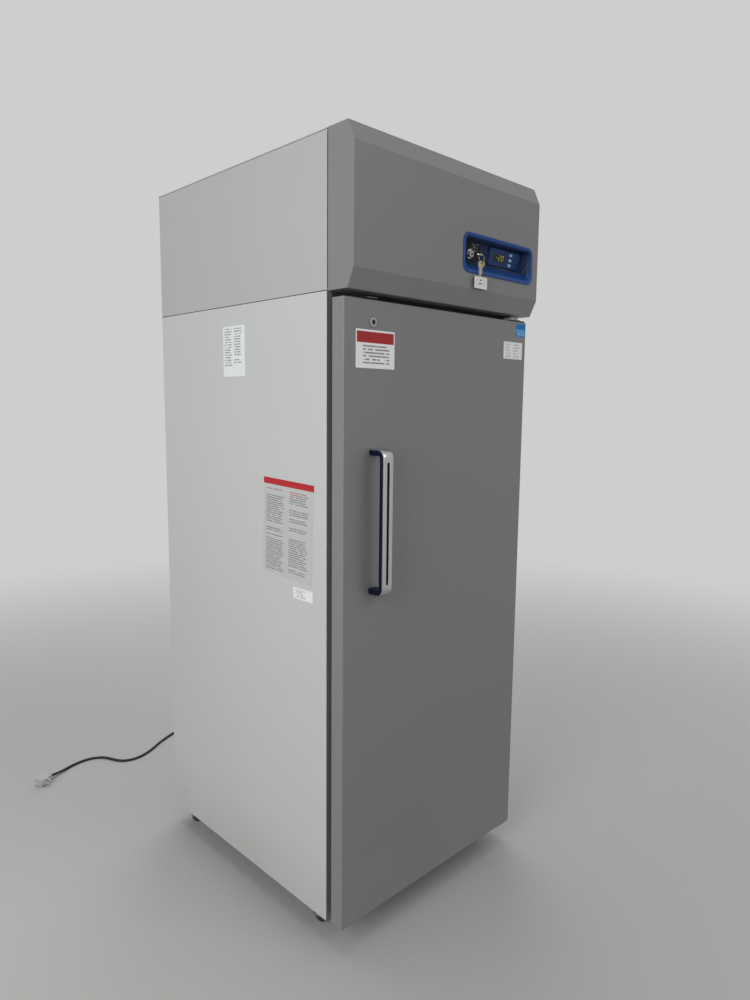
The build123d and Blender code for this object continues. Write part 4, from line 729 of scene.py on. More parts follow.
class Blank:
    """A mesh in the making, in metres in the row frame."""

    merge: ClassVar[float] = 0.001 * MM
    bevel_steps: ClassVar[int] = 2
    bevel_profile: ClassVar[float] = 0.6

    def __init__(self) -> None:
        """Starts with an empty mesh."""
        self.work = bmesh.new()

    def rod(self, start: Vector, end: Vector, radius: float, sides: int) -> None:
        """Adds a closed round rod between two points.

        Args:
            start: One end.
            end: The other end.
            radius: The rod's radius.
            sides: How many sides it has.
        """
        way = end - start
        turn = way.to_track_quat("Z", "Y").to_matrix().to_4x4()
        bmesh.ops.create_cone(
            self.work, cap_ends=True, segments=sides, radius1=radius, radius2=radius,
            depth=way.length, matrix=Matrix.Translation((start + end) / 2) @ turn,
        )

    def slab(self, low: Vector, high: Vector, bevel: float = 0.0) -> None:
        """Adds a box between two corners, with its edges rounded if asked.

        Args:
            low: The lowest corner.
            high: The highest corner.
            bevel: The width of the rounding.
        """
        verts = bmesh.ops.create_cube(self.work, size=1.0)["verts"]
        scale = Matrix.Diagonal((*(high - low), 1.0))
        place = Matrix.Translation((low + high) / 2) @ scale
        bmesh.ops.transform(self.work, matrix=place, verts=verts)
        if bevel > 0:
            edges = list({edge for vert in verts for edge in vert.link_edges})
            bmesh.ops.bevel(
                self.work, geom=edges, offset=bevel, segments=self.bevel_steps,
                profile=self.bevel_profile, affect="EDGES",
            )

    def skin(self, rings: list[list[Vector]]) -> bmesh.types.BMFace:
        """Adds a closed skin over rings of points.

        Args:
            rings: The rings, in order, each with as many points.

        Returns:
            The face that closes the last ring.
        """
        loops = [[self.work.verts.new(point) for point in ring] for ring in rings]
        for near, far in zip(loops[:-1], loops[1:]):
            for k in range(len(near)):
                self.work.faces.new([near[k - 1], near[k], far[k], far[k - 1]])
        self.work.faces.new(loops[0])
        return self.work.faces.new(loops[-1])

    def finish(self, name: str, finish: Finish) -> Piece:
        """Turns the mesh into an object with outward faces.

        Args:
            name: The object's name.
            finish: What it is finished in.

        Returns:
            The new object at the origin.
        """
        bmesh.ops.remove_doubles(self.work, verts=self.work.verts, dist=self.merge)
        bmesh.ops.recalc_face_normals(self.work, faces=self.work.faces)
        mesh = bpy.data.meshes.new(name)
        self.work.to_mesh(mesh)
        self.work.free()
        mesh.materials.append(finish.material())
        return add_object(name, mesh)


def join(name: str, parts: list[Piece]) -> Piece:
    """Joins meshes into one object and removes the parts.

    Args:
        name: The joined object's name.
        parts: Mesh objects at the origin.

    Returns:
        The joined object.
    """
    work = bmesh.new()
    materials: list[bpy.types.Material] = []
    for part in parts:
        start = len(work.faces)
        work.from_mesh(part.data)
        work.faces.ensure_lookup_table()
        for face in work.faces[start:]:
            material = part.data.materials[face.material_index]
            if material not in materials:
                materials.append(material)
            face.material_index = materials.index(material)
        bpy.data.objects.remove(part)
    mesh = bpy.data.meshes.new(name)
    work.to_mesh(mesh)
    work.free()
    for material in materials:
        mesh.materials.append(material)
    return add_object(name, mesh)


def settle(piece: Piece, body: str, slot: str, *replaced: str) -> None:
    """Lets a finished piece ride on its body.

    Args:
        piece: The piece, at the origin.
        body: The body it moves with.
        slot: The record's material slot for its finish; not used.
        *replaced: CAD nodes that it stands for.
    """
    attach(piece, body)
    if replaced:
        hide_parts(*replaced)
    log.info("made %s on %s", piece.name, body)


@dataclass(frozen=True)
class Row:
    """Where the copies of a unit stand, and how far each turns by chance about each axis."""

    first: Triple
    pitch: Triple
    counts: Counts
    twist: Triple = (0.0, 0.0, 0.0)
    seed: int = 7


class Recipe(Graph):
    """A Geometry Nodes tree with named inputs, baked to a plain mesh."""

    def __init__(self, name: str) -> None:
        """Starts an empty tree with its group input and output.

        Args:
            name: The tree's name.
        """
        super().__init__(bpy.data.node_groups.new(name, "GeometryNodeTree"))
        self.entry = self.tree.nodes.new("NodeGroupInput")
        self.exit = self.tree.nodes.new("NodeGroupOutput")
        self.tree.interface.new_socket(
            name="Geometry", in_out="OUTPUT", socket_type="NodeSocketGeometry"
        )
        self.identifiers: dict[str, str] = {}

    def size(self, name: str, kind: str) -> Field:
        """Adds a named input to the tree.

        Args:
            name: What the input is called.
            kind: Its socket type without the leading words, such as "Float".

        Returns:
            The input as a field.
        """
        item = self.tree.interface.new_socket(
            name=name, in_out="INPUT", socket_type="NodeSocket" + kind
        )
        self.identifiers[name] = item.identifier
        return Field(self, self.entry.outputs[name])

    def close(self, instances: Field, coat: Field) -> None:
        """Ends the tree in Realize Instances and Set Material.

        Args:
            instances: The instanced geometry.
            coat: The material's input.
        """
        solid = self.node("GeometryNodeRealizeInstances", {}, {0: instances})
        dressed = self.node("GeometryNodeSetMaterial", {}, {"Geometry": solid, "Material": coat})
        self.tree.links.new(dressed.socket, self.exit.inputs[0])

    def bake(self, name: str, values: dict) -> Piece:
        """Runs the tree once and keeps its result as a plain mesh object.

        Args:
            name: The new object's name.
            values: What each named input is set to.

        Returns:
            The object, without a modifier.
        """
        carrier = add_object(name + ".carrier", bpy.data.meshes.new(name + ".carrier"))
        modifier = carrier.modifiers.new("recipe", "NODES")
        modifier.node_group = self.tree
        for key, value in values.items():
            modifier[self.identifiers[key]] = value
        evaluated = carrier.evaluated_get(bpy.context.evaluated_depsgraph_get())
        mesh = bpy.data.meshes.new_from_object(evaluated)
        carrier.modifiers.remove(modifier)
        bpy.data.objects.remove(carrier)
        mesh.name = name
        return add_object(name, mesh)


class Rows(Recipe):
    """Repeats one unit piece in rows along X, Y and Z, each turned by chance if asked."""

    inputs: ClassVar[dict[str, str]] = {
        "Unit": "Object", "Finish": "Material", "First": "Vector", "Pitch": "Vector",
        "Count X": "Int", "Count Y": "Int", "Count Z": "Int", "Twist": "Vector", "Seed": "Int",
    }

    def __init__(self) -> None:
        """Builds the tree that counts out the copies."""
        super().__init__("rows_of_pieces")
        unit, coat, first, pitch, along_x, along_y, along_z, twist, seed = (
            self.size(name, kind) for name, kind in self.inputs.items()
        )
        index = self.node("GeometryNodeInputIndex") + 0.5
        step_x = (index % along_x).floor()
        step_y = ((index / along_x).floor() % along_y).floor()
        step_z = (index / (along_x * along_y)).floor()
        steps = self.node("ShaderNodeCombineXYZ", {}, {0: step_x, 1: step_y, 2: step_z})
        places = {"Count": along_x * along_y * along_z, "Position": steps * pitch + first}
        points = self.node("GeometryNodePoints", {}, places)
        piece = self.node("GeometryNodeObjectInfo", {}, {"Object": unit}, "Geometry")
        chance = self.node("FunctionNodeRandomValue", {"data_type": "FLOAT"}, {"Seed": seed}, 1)
        turn = self.node("ShaderNodeCombineXYZ", {}, {0: chance, 1: chance, 2: chance}) * twist
        copies = {"Points": points, "Instance": piece, "Rotation": turn}
        self.close(self.node("GeometryNodeInstanceOnPoints", {}, copies), coat)

    def repeat(self, name: str, unit: Piece, finish: Finish, *rows: Row) -> Piece:
        """Repeats a unit and keeps the copies as one mesh.

        Args:
            name: The result's name.
            unit: The piece to repeat, which is removed at the end.
            finish: What the copies are finished in.
            *rows: Where the copies stand.

        Returns:
            The joined copies.
        """
        made = []
        for number, row in enumerate(rows):
            given = (unit, finish.material(), row.first, row.pitch, *row.counts, row.twist, row.seed)
            made.append(self.bake(f"{name}_{number}", dict(zip(self.inputs, given))))
        bpy.data.objects.remove(unit)
        return join(name, made)


class Facing(Enum):
    """Which way a flat piece looks, as its right-hand, upward and outward directions."""

    FRONT = ((1, 0, 0), (0, 0, 1), (0, -1, 0))
    FASCIA = (
        (1, 0, 0),
        (0, -math.sin(HOOD_LEAN), math.cos(HOOD_LEAN)),
        (0, -math.cos(HOOD_LEAN), -math.sin(HOOD_LEAN)),
    )
    LEFT = ((0, -1, 0), (0, 0, 1), (-1, 0, 0))

    def directions(self) -> list[Vector]:
        """Gives the three directions as vectors."""
        return [Vector(part) for part in self.value]


# Light grey case enamel, with painted shade in the door's grey on its front flange.
CASE_ENAMEL = FramedEnamel("light_case_enamel", (0.500, 0.515, 0.500))
MACHINE_ENAMEL = Enamel("machine_side_enamel", (0.415, 0.422, 0.410))
DOOR_ENAMEL = Enamel("grey_door_enamel", (0.200, 0.204, 0.202))
LINER_ENAMEL = Enamel("white_liner_enamel", (0.72, 0.73, 0.73), 0.35, dust_share=0.0)
SHELF_COAT = Enamel("white_shelf_coat", (0.70, 0.71, 0.72), 0.30, dust_share=0.0)
BLACK_ENAMEL = Enamel("black_enamel", (0.018, 0.018, 0.020), 0.32, (0.16, 0.15, 0.14), 0.2)
GALVANISED = Metal("galvanised_sheet", (0.50, 0.52, 0.54), 0.42, (40.0, 40.0, 40.0), spangle=55.0)
SATIN_STEEL = Metal("satin_steel", (0.58, 0.58, 0.58), 0.30, (60.0, 60.0, 900.0))
HANDLE_METAL = Metal("satin_handle_aluminium", (0.52, 0.53, 0.55), 0.28, (900.0, 900.0, 25.0))
CHROME = Metal("bright_chrome", (0.42, 0.42, 0.44), 0.14, (200.0, 200.0, 200.0), 0.05)
DARK_STEEL = Metal("dark_blued_steel", (0.060, 0.060, 0.064), 0.30, grain_share=0.08)
DARK_ZINC = Metal("dull_zinc", (0.11, 0.11, 0.115), 0.52, (80.0, 80.0, 80.0))
NICKEL = Metal("worn_nickel", (0.56, 0.54, 0.50), 0.24, (500.0, 500.0, 500.0))
BRASS = Metal("key_brass", (0.36, 0.29, 0.12), 0.30, (500.0, 500.0, 500.0), tarnish_share=0.25)
COPPER = Metal("drawn_copper", (0.66, 0.34, 0.20), 0.28, (80.0, 80.0, 80.0), tarnish_share=0.35)
FIN_METAL = Metal("fin_aluminium", (0.72, 0.73, 0.74), 0.36, (700.0, 700.0, 700.0))
FRAME_PLASTIC = Plastic("grey_frame_profile", (0.050, 0.051, 0.053), 0.5)
# Blue bezel, with painted shade inside its recess.
BEZEL_PLASTIC = ShadedRecessPlastic("blue_bezel", (0.012, 0.062, 0.250), 0.40, 0.03, specular=0.20)
GRIP_PLASTIC = Plastic("navy_grip", (0.003, 0.005, 0.018), 0.38, 0.04, specular=0.20)
# Dark blue panel film, darkened further as painted shade deep in the control recess.
PANEL_FILM_AND_SHADE = Plastic("blue_panel_film_and_shade", (0.006, 0.033, 0.125), 0.40, 0.02, specular=0.20)
LENS_PLASTIC = Plastic("dark_lens", (0.004, 0.007, 0.007), 0.16, 0.01, specular=0.25)
BUTTON_PLASTIC = Plastic("pale_button", (0.30, 0.46, 0.66), 0.42)
BLOCK_PLASTIC = Plastic("pale_block", (0.60, 0.60, 0.57), 0.5)
ACETAL = Plastic("white_acetal", (0.62, 0.62, 0.60), 0.45)
COVER_PLASTIC = Plastic("white_cover", (0.72, 0.73, 0.74), 0.38)
PAN_PLASTIC = Plastic("black_pan", (0.022, 0.022, 0.024), 0.5)
PLUG_PLASTIC = Plastic("grey_plug", (0.42, 0.42, 0.41), 0.42)
CARD = Plastic("white_card", (0.74, 0.74, 0.72), 0.6, 0.02, relief=(0.05 * MM, 0.5))
GASKET_RUBBER = Rubber("dark_gasket", (0.018, 0.018, 0.019))
# Black rubber for the painted shade lines in the seams and the hood gap.
SEAM_SHADE_RUBBER = Rubber("black_seam_shade", (0.006, 0.006, 0.006), 0.85)
TREAD_RUBBER = Rubber("caster_tread", (0.030, 0.030, 0.032), 0.60)
CORD_RUBBER = Rubber("black_cord", (0.012, 0.012, 0.012), 0.62)
CORE_FOAM = Foam("cream_foam", (0.72, 0.62, 0.40))
DIGIT_GLOW = Glow("lit_digits", (0.40, 0.46, 0.08))
GROUND = Ground("pale_floor", (0.40, 0.40, 0.392))
KEY_PLATE = Print(
    "black_key_plate", (0.008, 0.009, 0.013), rows=5, words=7.0, gaps=0.50, stroke=0.16,
    text_left=0.52, text_right=0.95, text_low=0.52, text_high=0.94,
    ink=(0.50, 0.50, 0.50), ink_share=0.75,
)
TAG_PRINT = Print(
    "tag_print", (0.74, 0.74, 0.73), rows=2, words=3.4, gaps=0.50, stroke=0.17,
    text_left=0.10, text_right=0.90, text_low=0.06, text_high=0.94, ink_share=0.92,
)
DATA_PRINT = Print(
    "data_label", (0.70, 0.73, 0.72), rows=15, columns=2, gutter=0.02, words=7.0, gaps=0.42,
    text_left=0.05, text_right=0.95, text_low=0.20, text_high=0.97, ink=(0.12, 0.13, 0.13),
    ink_share=0.75, stroke=0.22, ragged=0.45, blank=0.38,
)
NOTICE_PRINT = Print(
    "notice_sheet", (0.475, 0.490, 0.480), band_low=0.935, rows=38, columns=2, words=11.0,
    gaps=0.36, text_left=0.04, text_right=0.98, text_low=0.04, text_high=0.90,
    ink=(0.11, 0.11, 0.12), ink_share=0.72, stroke=0.22, ragged=0.40, blank=0.39,
    heading=(0.36, 0.05, 0.05), heading_low=0.86,
)
SLIP_PRINT = Print(
    "slip_label", (0.74, 0.76, 0.75), rows=5, words=8.0, text_low=0.12, text_high=0.88,
    ink=(0.14, 0.14, 0.15), ink_share=0.6, ragged=0.8,
)
DOOR_NOTICE_PRINT = Print(
    "door_notice", (0.84, 0.84, 0.83), band=(0.36, 0.002, 0.007), band_low=0.66, border=0.05,
    rows=6, words=8.0, gaps=0.40, text_left=0.14, text_right=0.90, text_low=0.10, text_high=0.62,
    ink_share=0.7,
)
DOOR_SLIP_PRINT = Print(
    "door_slip", (0.82, 0.83, 0.83), rows=5, columns=2, words=6.0, ink_share=0.4, ragged=0.7,
)
BLUE_PRINT = Print(
    "blue_square", (0.04, 0.27, 0.58), band=(0.02, 0.17, 0.44), band_low=0.60, border=0.06,
    rows=3, words=4.0, text_low=0.10, text_high=0.50, ink=(0.60, 0.72, 0.80), ink_share=0.7,
)


@dataclass(frozen=True)
class Lamp:
    """One soft square lamp: its place, the point that it looks at, its side and its power."""

    name: str
    place: Triple
    aim: Triple
    side: float
    watts: float

    def hang(self) -> None:
        """Hangs the lamp in the scene."""
        data = bpy.data.lights.new(self.name, "AREA")
        data.size = self.side
        data.energy = self.watts
        turn = (Vector(self.aim) - Vector(self.place)).to_track_quat("-Z", "Y")
        place = Matrix.Translation(self.place) @ turn.to_matrix().to_4x4()
        add_object(self.name, data).matrix_world = place


@dataclass
class Studio:
    """The floor, four soft lamps and the camera at the photograph's place."""

    camera_place: Triple = (-1.4462, -1.6116, 1.3823)
    heading: float = 44.32
    pitch: float = -7.51
    roll: float = 0.57
    focal_pixels: float = 714.5
    image_pixels: float = 1000.0
    sensor: float = 36.0
    nearest: float = 0.01
    farthest: float = 60.0
    floor_half: float = 9.0
    world_light: float = 0.38
    lamps: tuple[Lamp, ...] = (
        Lamp("left_softbox", (-3.1, -1.0, 1.95), (-0.35, -0.1, 1.1), 2.0, 65.0),
        Lamp("front_softbox", (2.0, -6.0, 4.6), (0.0, -0.35, 1.0), 3.0, 85.0),
        Lamp("top_softbox", (0.3, 0.7, 4.6), (0.0, 0.1, 0.0), 3.0, 72.0),
        Lamp("rear_fill", (2.9, 2.8, 2.6), (0.2, 0.3, 1.1), 2.6, 36.0),
    )

    def aim_camera(self) -> None:
        """Sets up the camera for an upright frame of the photograph's shape."""
        data = bpy.data.cameras.new("photo_camera")
        data.sensor_fit = "VERTICAL"
        data.sensor_height = self.sensor
        data.lens = self.focal_pixels * self.sensor / self.image_pixels
        data.clip_start = self.nearest
        data.clip_end = self.farthest
        heading = Matrix.Rotation(-math.radians(self.heading), 4, "Z")
        tilt = Matrix.Rotation(math.radians(90 + self.pitch), 4, "X")
        roll = Matrix.Rotation(math.radians(self.roll), 4, "Z")
        camera = add_object("photo_camera", data)
        camera.matrix_world = Matrix.Translation(self.camera_place) @ heading @ tilt @ roll
        bpy.context.scene.camera = camera

    def lay_floor(self) -> None:
        """Lays a plain pale floor under the freezer."""
        blank = Blank()
        corners = [(x * self.floor_half, y * self.floor_half, 0) for x, y in SQUARE]
        blank.work.faces.new([blank.work.verts.new(corner) for corner in corners])
        blank.finish("studio_floor", GROUND)

    def light_world(self) -> None:
        """Gives the room an even light, and a pale backdrop to the camera and to mirrors."""
        world = bpy.data.worlds.new("studio_world")
        world.use_nodes = True
        graph = Graph(world.node_tree)
        world.node_tree.nodes.clear()
        light = {"Color": (1.0, 1.0, 1.0), "Strength": self.world_light}
        plain = graph.node("ShaderNodeBackground", {}, light)
        wall = graph.node("ShaderNodeBackground", {}, {"Color": BACKDROP, "Strength": 1.0})
        both = graph.node("ShaderNodeMixShader", {}, {0: graph.shown_rays(), 1: plain, 2: wall})
        end = world.node_tree.nodes.new("ShaderNodeOutputWorld")
        world.node_tree.links.new(both.socket, end.inputs["Surface"])
        bpy.context.scene.world = world

    def build(self) -> None:
        """Sets up everything around the freezer."""
        self.aim_camera()
        self.lay_floor()
        self.light_world()
        for lamp in self.lamps:
            lamp.hang()
        bpy.context.scene.view_settings.view_transform = "Standard"
        log.info("studio ready")


@dataclass(frozen=True)
class Label:
    """A flat label with rounded corners, stuck on a face."""

    name: str
    facing: Facing
    size: Pair
    finish: Finish
    slot: str = "tag_card"
    tilt: float = 0.0
    corner: float = 2.0 * MM
    thickness: float = 0.2 * MM
    lift: float = 0.05 * MM
    arc_steps: int = 4

    def outline(self) -> list[Pair]:
        """Gives the rounded outline around the label's middle.

        Returns:
            Points across and up, in order.
        """
        half_w, half_h = self.size[0] / 2 - self.corner, self.size[1] / 2 - self.corner
        points = []
        for turn, (sign_x, sign_y) in enumerate(((1, 1), (-1, 1), (-1, -1), (1, -1))):
            for step in range(self.arc_steps + 1):
                angle = math.pi / 2 * (turn + step / self.arc_steps)
                across = sign_x * half_w + self.corner * math.cos(angle)
                points.append((across, sign_y * half_h + self.corner * math.sin(angle)))
        return points

    def stick(self, body: str, centre: Triple) -> None:
        """Makes the label with a UV map across its face.

        Args:
            body: The body that it rides on.
            centre: Its middle, on the face that carries it.
        """
        right, up, out = self.facing.directions()
        turn = Matrix.Rotation(math.radians(self.tilt), 3, out)
        right, up = turn @ right, turn @ up
        middle = Vector(centre)
        blank = Blank()
        layer = blank.work.loops.layers.uv.new("print")
        back = [middle + right * a + up * b + out * self.lift for a, b in self.outline()]
        blank.skin([[point + out * self.thickness for point in back], back])
        for face in blank.work.faces:
            for loop in face.loops:
                offset = loop.vert.co - middle
                across, height = offset.dot(right) / self.size[0], offset.dot(up) / self.size[1]
                loop[layer].uv = (across + 0.5, height + 0.5)
        settle(blank.finish(self.name, self.finish), body, self.slot)


@dataclass
class Assembly:
    """A sub-assembly, which dresses its CAD nodes and makes the scene's own pieces."""

    rows: Rows

    finishes: ClassVar[dict[str, Finish]] = {}

    def make(self) -> None:
        """Makes the pieces that stand for CAD nodes or are added to them."""

    def build(self) -> None:
        """Gives the CAD nodes their finishes, then makes the other pieces."""
        for node, finish in self.finishes.items():
            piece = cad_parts[node]
            material = finish.material()
            if not piece.material_slots:
                piece.data.materials.append(material)
            for holder in piece.material_slots:
                holder.material = material
            log.info("dressed %s in %s", node, finish.name)
        self.make()


@dataclass
class CabinetShell(Assembly):
    """The insulated case with the machine compartment's panels and their screws."""

    screw_r: float = 4.2 * MM
    screw_dome: float = 2.4 * MM
    screw_inset: float = 9.0 * MM
    screw_sides: int = 14
    screws_across: int = 6
    screws_up: int = 4
    side_screw_seed: int = 11
    recess_margin_share: float = 0.14
    recess_depth_share: float = 0.55
    louvre_depth: float = 6.0 * MM
    bead: float = 1.8 * MM
    bead_proud: float = 0.15 * MM
    eave_drop: float = 3.0 * MM
    gap_strip_thick: float = 2.8 * MM
    gap_strip_width: float = 11.0 * MM
    gap_strip_inset: float = 0.8 * MM
    gap_strip_end: float = 6.0 * MM

    screw_ring_shares: ClassVar[tuple[Pair, ...]] = (
        (1.0, 0.0), (1.0, 0.35), (0.82, 0.75), (0.45, 1.0),
    )
    finishes: ClassVar[dict[str, Finish]] = {
        "outer_case": CASE_ENAMEL,
        "machine_sides": MACHINE_ENAMEL,
        "top_panel": MACHINE_ENAMEL,
        "base_pan": GALVANISED,
        "machine_deck": GALVANISED,
        "rear_louvre_panel": GALVANISED,
        "face_frame": FRAME_PLASTIC,
        "inner_liner": LINER_ENAMEL,
        "foam_core": CORE_FOAM,
        "strike_plate": DARK_ZINC,
        "hinge_brackets": BLACK_ENAMEL,
        "hinge_block": BLOCK_PLASTIC,
        "hood_hinge_brackets": SATIN_STEEL,
    }
    labels: ClassVar[dict[Label, Pair]] = {
        Label("side_data_label", Facing.LEFT, (103 * MM, 133 * MM), DATA_PRINT): (0.0525, 1.5235),
        Label(
            "side_notice_sheet", Facing.LEFT, (206 * MM, 252 * MM), NOTICE_PRINT, tilt=-2.2
        ): (-0.177, 1.0675),
        Label("side_slip_label", Facing.LEFT, (77 * MM, 29 * MM), SLIP_PRINT): (-0.2395, 0.9105),
    }

    def screw_unit(self) -> Piece:
        """Makes one screw with a domed head and a recess, which looks to the rear.

        Returns:
            The unit piece around the origin.
        """
        blank = Blank()
        rings = []
        for radius_share, height_share in self.screw_ring_shares:
            radius, height = self.screw_r * radius_share, self.screw_dome * height_share
            rings.append([
                Vector((radius * math.cos(angle), height, radius * math.sin(angle)))
                for angle in circle(self.screw_sides)
            ])
        top = blank.skin(rings)
        margin = self.screw_r * self.recess_margin_share
        bmesh.ops.inset_region(blank.work, faces=[top], thickness=margin)
        sunk = (0, -self.screw_dome * self.recess_depth_share, 0)
        bmesh.ops.translate(blank.work, verts=top.verts, vec=sunk)
        return blank.finish("screw_unit", SATIN_STEEL)

    def drive_screws(self) -> None:
        """Puts screws round the rear panel's edge."""
        low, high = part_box("rear_louvre_panel")
        face = high.y - self.louvre_depth
        width = high.x - low.x - 2 * self.screw_inset
        height = high.z - low.z - 2 * self.screw_inset
        across = width / (self.screws_across - 1)
        upward = height / (self.screws_up - 1)
        left, bottom = low.x + self.screw_inset, low.z + self.screw_inset
        turn = (0.0, math.pi, 0.0)
        ends = Row((left, face, bottom), (across, 0, height), (self.screws_across, 1, 2), turn)
        sides = Row(
            (left, face, bottom + upward), (width, 0, upward), (2, 1, self.screws_up - 2), turn,
            self.side_screw_seed,
        )
        screws = self.rows.repeat("rear_panel_screws", self.screw_unit(), SATIN_STEEL, ends, sides)
        settle(soften(screws), "cabinet", "bright_steel")

    @staticmethod
    def add_pair(
        blank: Blank, inner: float, outer: float, low: Pair, high: Pair, bevel: float = 0.0
    ) -> None:
        """Adds a bar on each side of the case.

        Args:
            blank: The mesh to add to.
            inner: The bars' near side, from the case's middle.
            outer: The bars' far side, from the case's middle.
            low: Their front and bottom.
            high: Their back and top.
            bevel: The width of the rounding.
        """
        for side in (-1, 1):
            near, far = sorted((side * inner, side * outer))
            blank.slab(Vector((near, *low)), Vector((far, *high)), bevel)

    def paint_seam_shade(self) -> None:
        """Runs dark beads along the panels' seams and a dark strip behind the hood's edge, as painted
        shade lines in the seams and in the gap between hood and case.
        """
        low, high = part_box("machine_sides")
        # Painted shade: black beads stand for the shade lines in the seams under and over the machine
        # sides.
        beads = Blank()
        for height, half in ((low.z, self.bead / 2), (high.z - self.eave_drop, self.bead / 4)):
            start, end = (low.y, height - half), (high.y, height + half)
            self.add_pair(beads, high.x - self.bead_proud, high.x + self.bead_proud, start, end)
        settle(beads.finish("panel_seam_beads", SEAM_SHADE_RUBBER), "cabinet", "gasket_rubber")
        # Painted shade: a black strip behind the hood's edge stands for the shade in the gap between
        # hood and case.
        strips = Blank()
        outer = high.x - self.gap_strip_inset
        start = (low.y - self.gap_strip_thick, low.z + self.gap_strip_end)
        end = (low.y, high.z - self.gap_strip_end * 2)
        self.add_pair(strips, outer - self.gap_strip_width, outer, start, end, self.gap_strip_thick / 4)
        strip = strips.finish("hood_foam_seal", SEAM_SHADE_RUBBER)
        settle(soften(strip), "cabinet", "gasket_rubber")

    def make(self) -> None:
        """Makes the screws and the painted seam shade, and sticks three plain labels on the left
        side.
        """
        self.drive_screws()
        self.paint_seam_shade()
        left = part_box("outer_case")[0].x
        for label, (y, z) in self.labels.items():
            label.stick("cabinet", (left, y, z))


@dataclass
class Bow:
    """A flat bar bent into a bow that stands on two legs, with a slot along its face if asked."""

    left: float
    right: float
    root: float
    front: float
    low: float
    high: float
    radius: float
    thick: float
    slot_width: float = 0.0
    slot_end: float = 0.0
    ease: float = 0.7 * MM
    ease_from: float = 50.0
    ease_steps: int = 2
    ease_profile: float = 0.5
    arc_steps: int = 10
    slot_steps: int = 6

    def path(self, inset: float) -> list[Pair]:
        """Gives one face of the bar from its upper foot to its lower foot.

        Args:
            inset: How far the face lies inside the outer one.

        Returns:
            Points in Y and Z.
        """
        bend = self.radius - inset
        centre = self.front + self.radius
        turns = [math.pi / 2 * step / self.arc_steps for step in range(self.arc_steps + 1)]
        top, bottom = self.high - self.radius, self.low + self.radius
        upper = [(centre - bend * math.sin(a), top + bend * math.cos(a)) for a in turns]
        lower = [(centre - bend * math.sin(a), bottom - bend * math.cos(a)) for a in turns[::-1]]
        face = self.front + inset
        reach = self.slot_end + self.slot_width / 2
        slot = [(face, self.high - reach), (face, self.low + reach)] if self.slot_width else []
        ends = [(self.root, self.high - inset), (self.root, self.low + inset)]
        return [ends[0], *upper, *slot, *lower, ends[1]]

    def fill(self, work: bmesh.types.BMesh) -> None:
        """Adds the bar with its eased edges.

        Args:
            work: The mesh to add to.
        """
        middle = (self.left + self.right) / 2
        half = self.slot_width / 2
        columns = [self.left, self.right]
        if half:
            columns = [self.left, middle - half, middle + half, self.right]
        skins = [
            [[work.verts.new((x, y, z)) for x in columns] for y, z in self.path(inset)]
            for inset in (0.0, self.thick)
        ]
        outer, inner = skins
        slot = self.arc_steps + 2
        arcs = self._slot_ends(work, skins, slot, middle) if half else {}
        for k in range(len(outer) - 1):
            for skin, rows in enumerate(skins):
                for c in range(len(columns) - 1):
                    if half and c == 1 and k == slot:
                        continue
                    upper, lower = rows[k], rows[k + 1]
                    bulge = arcs.get((skin, k), []) if c == 1 else []
                    above = bulge if k > slot else []
                    below = bulge if k < slot else []
                    work.faces.new(
                        [upper[c], *above, upper[c + 1], lower[c + 1], *reversed(below), lower[c]]
                    )
            walls = (0, 1, 2, 3) if half and k == slot else (0, len(columns) - 1)
            for c in walls:
                work.faces.new([outer[k][c], outer[k + 1][c], inner[k + 1][c], inner[k][c]])
        for near, far in ((outer[0], inner[0]), (outer[-1], inner[-1])):
            for c in range(len(columns) - 1):
                work.faces.new([near[c], near[c + 1], far[c + 1], far[c]])
        bmesh.ops.recalc_face_normals(work, faces=work.faces)
        turn = math.radians(self.ease_from)
        sharp = [edge for edge in work.edges if edge.calc_face_angle(0.0) > turn]
        bmesh.ops.bevel(
            work, geom=sharp, offset=self.ease, segments=self.ease_steps,
            profile=self.ease_profile, affect="EDGES", clamp_overlap=True,
        )

    def _slot_ends(
        self, work: bmesh.types.BMesh, skins: list, slot: int, middle: float
    ) -> dict[tuple[int, int], list]:
        """Adds the slot's two round ends with their walls.

        Args:
            work: The mesh to add to.
            skins: The outer and the inner grid of points.
            slot: The row where the slot starts.
            middle: The slot's middle across.

        Returns:
            The points of each end's arc from left to right, by skin and row.
        """
        half = self.slot_width / 2
        turns = [math.pi * step / self.slot_steps for step in range(1, self.slot_steps)]
        arcs = {}
        for row, way, key in ((slot, 1, slot - 1), (slot + 1, -1, slot + 1)):
            lines = []
            for skin, rows in enumerate(skins):
                start, end = rows[row][1], rows[row][2]
                arc = []
                for angle in turns:
                    height = start.co.z + way * half * math.sin(angle)
                    across = middle - half * math.cos(angle)
                    arc.append(work.verts.new((across, start.co.y, height)))
                arcs[(skin, key)] = arc
                lines.append([start, *arc, end])
            for k in range(self.slot_steps):
                work.faces.new([lines[0][k], lines[0][k + 1], lines[1][k + 1], lines[1][k]])
        return arcs


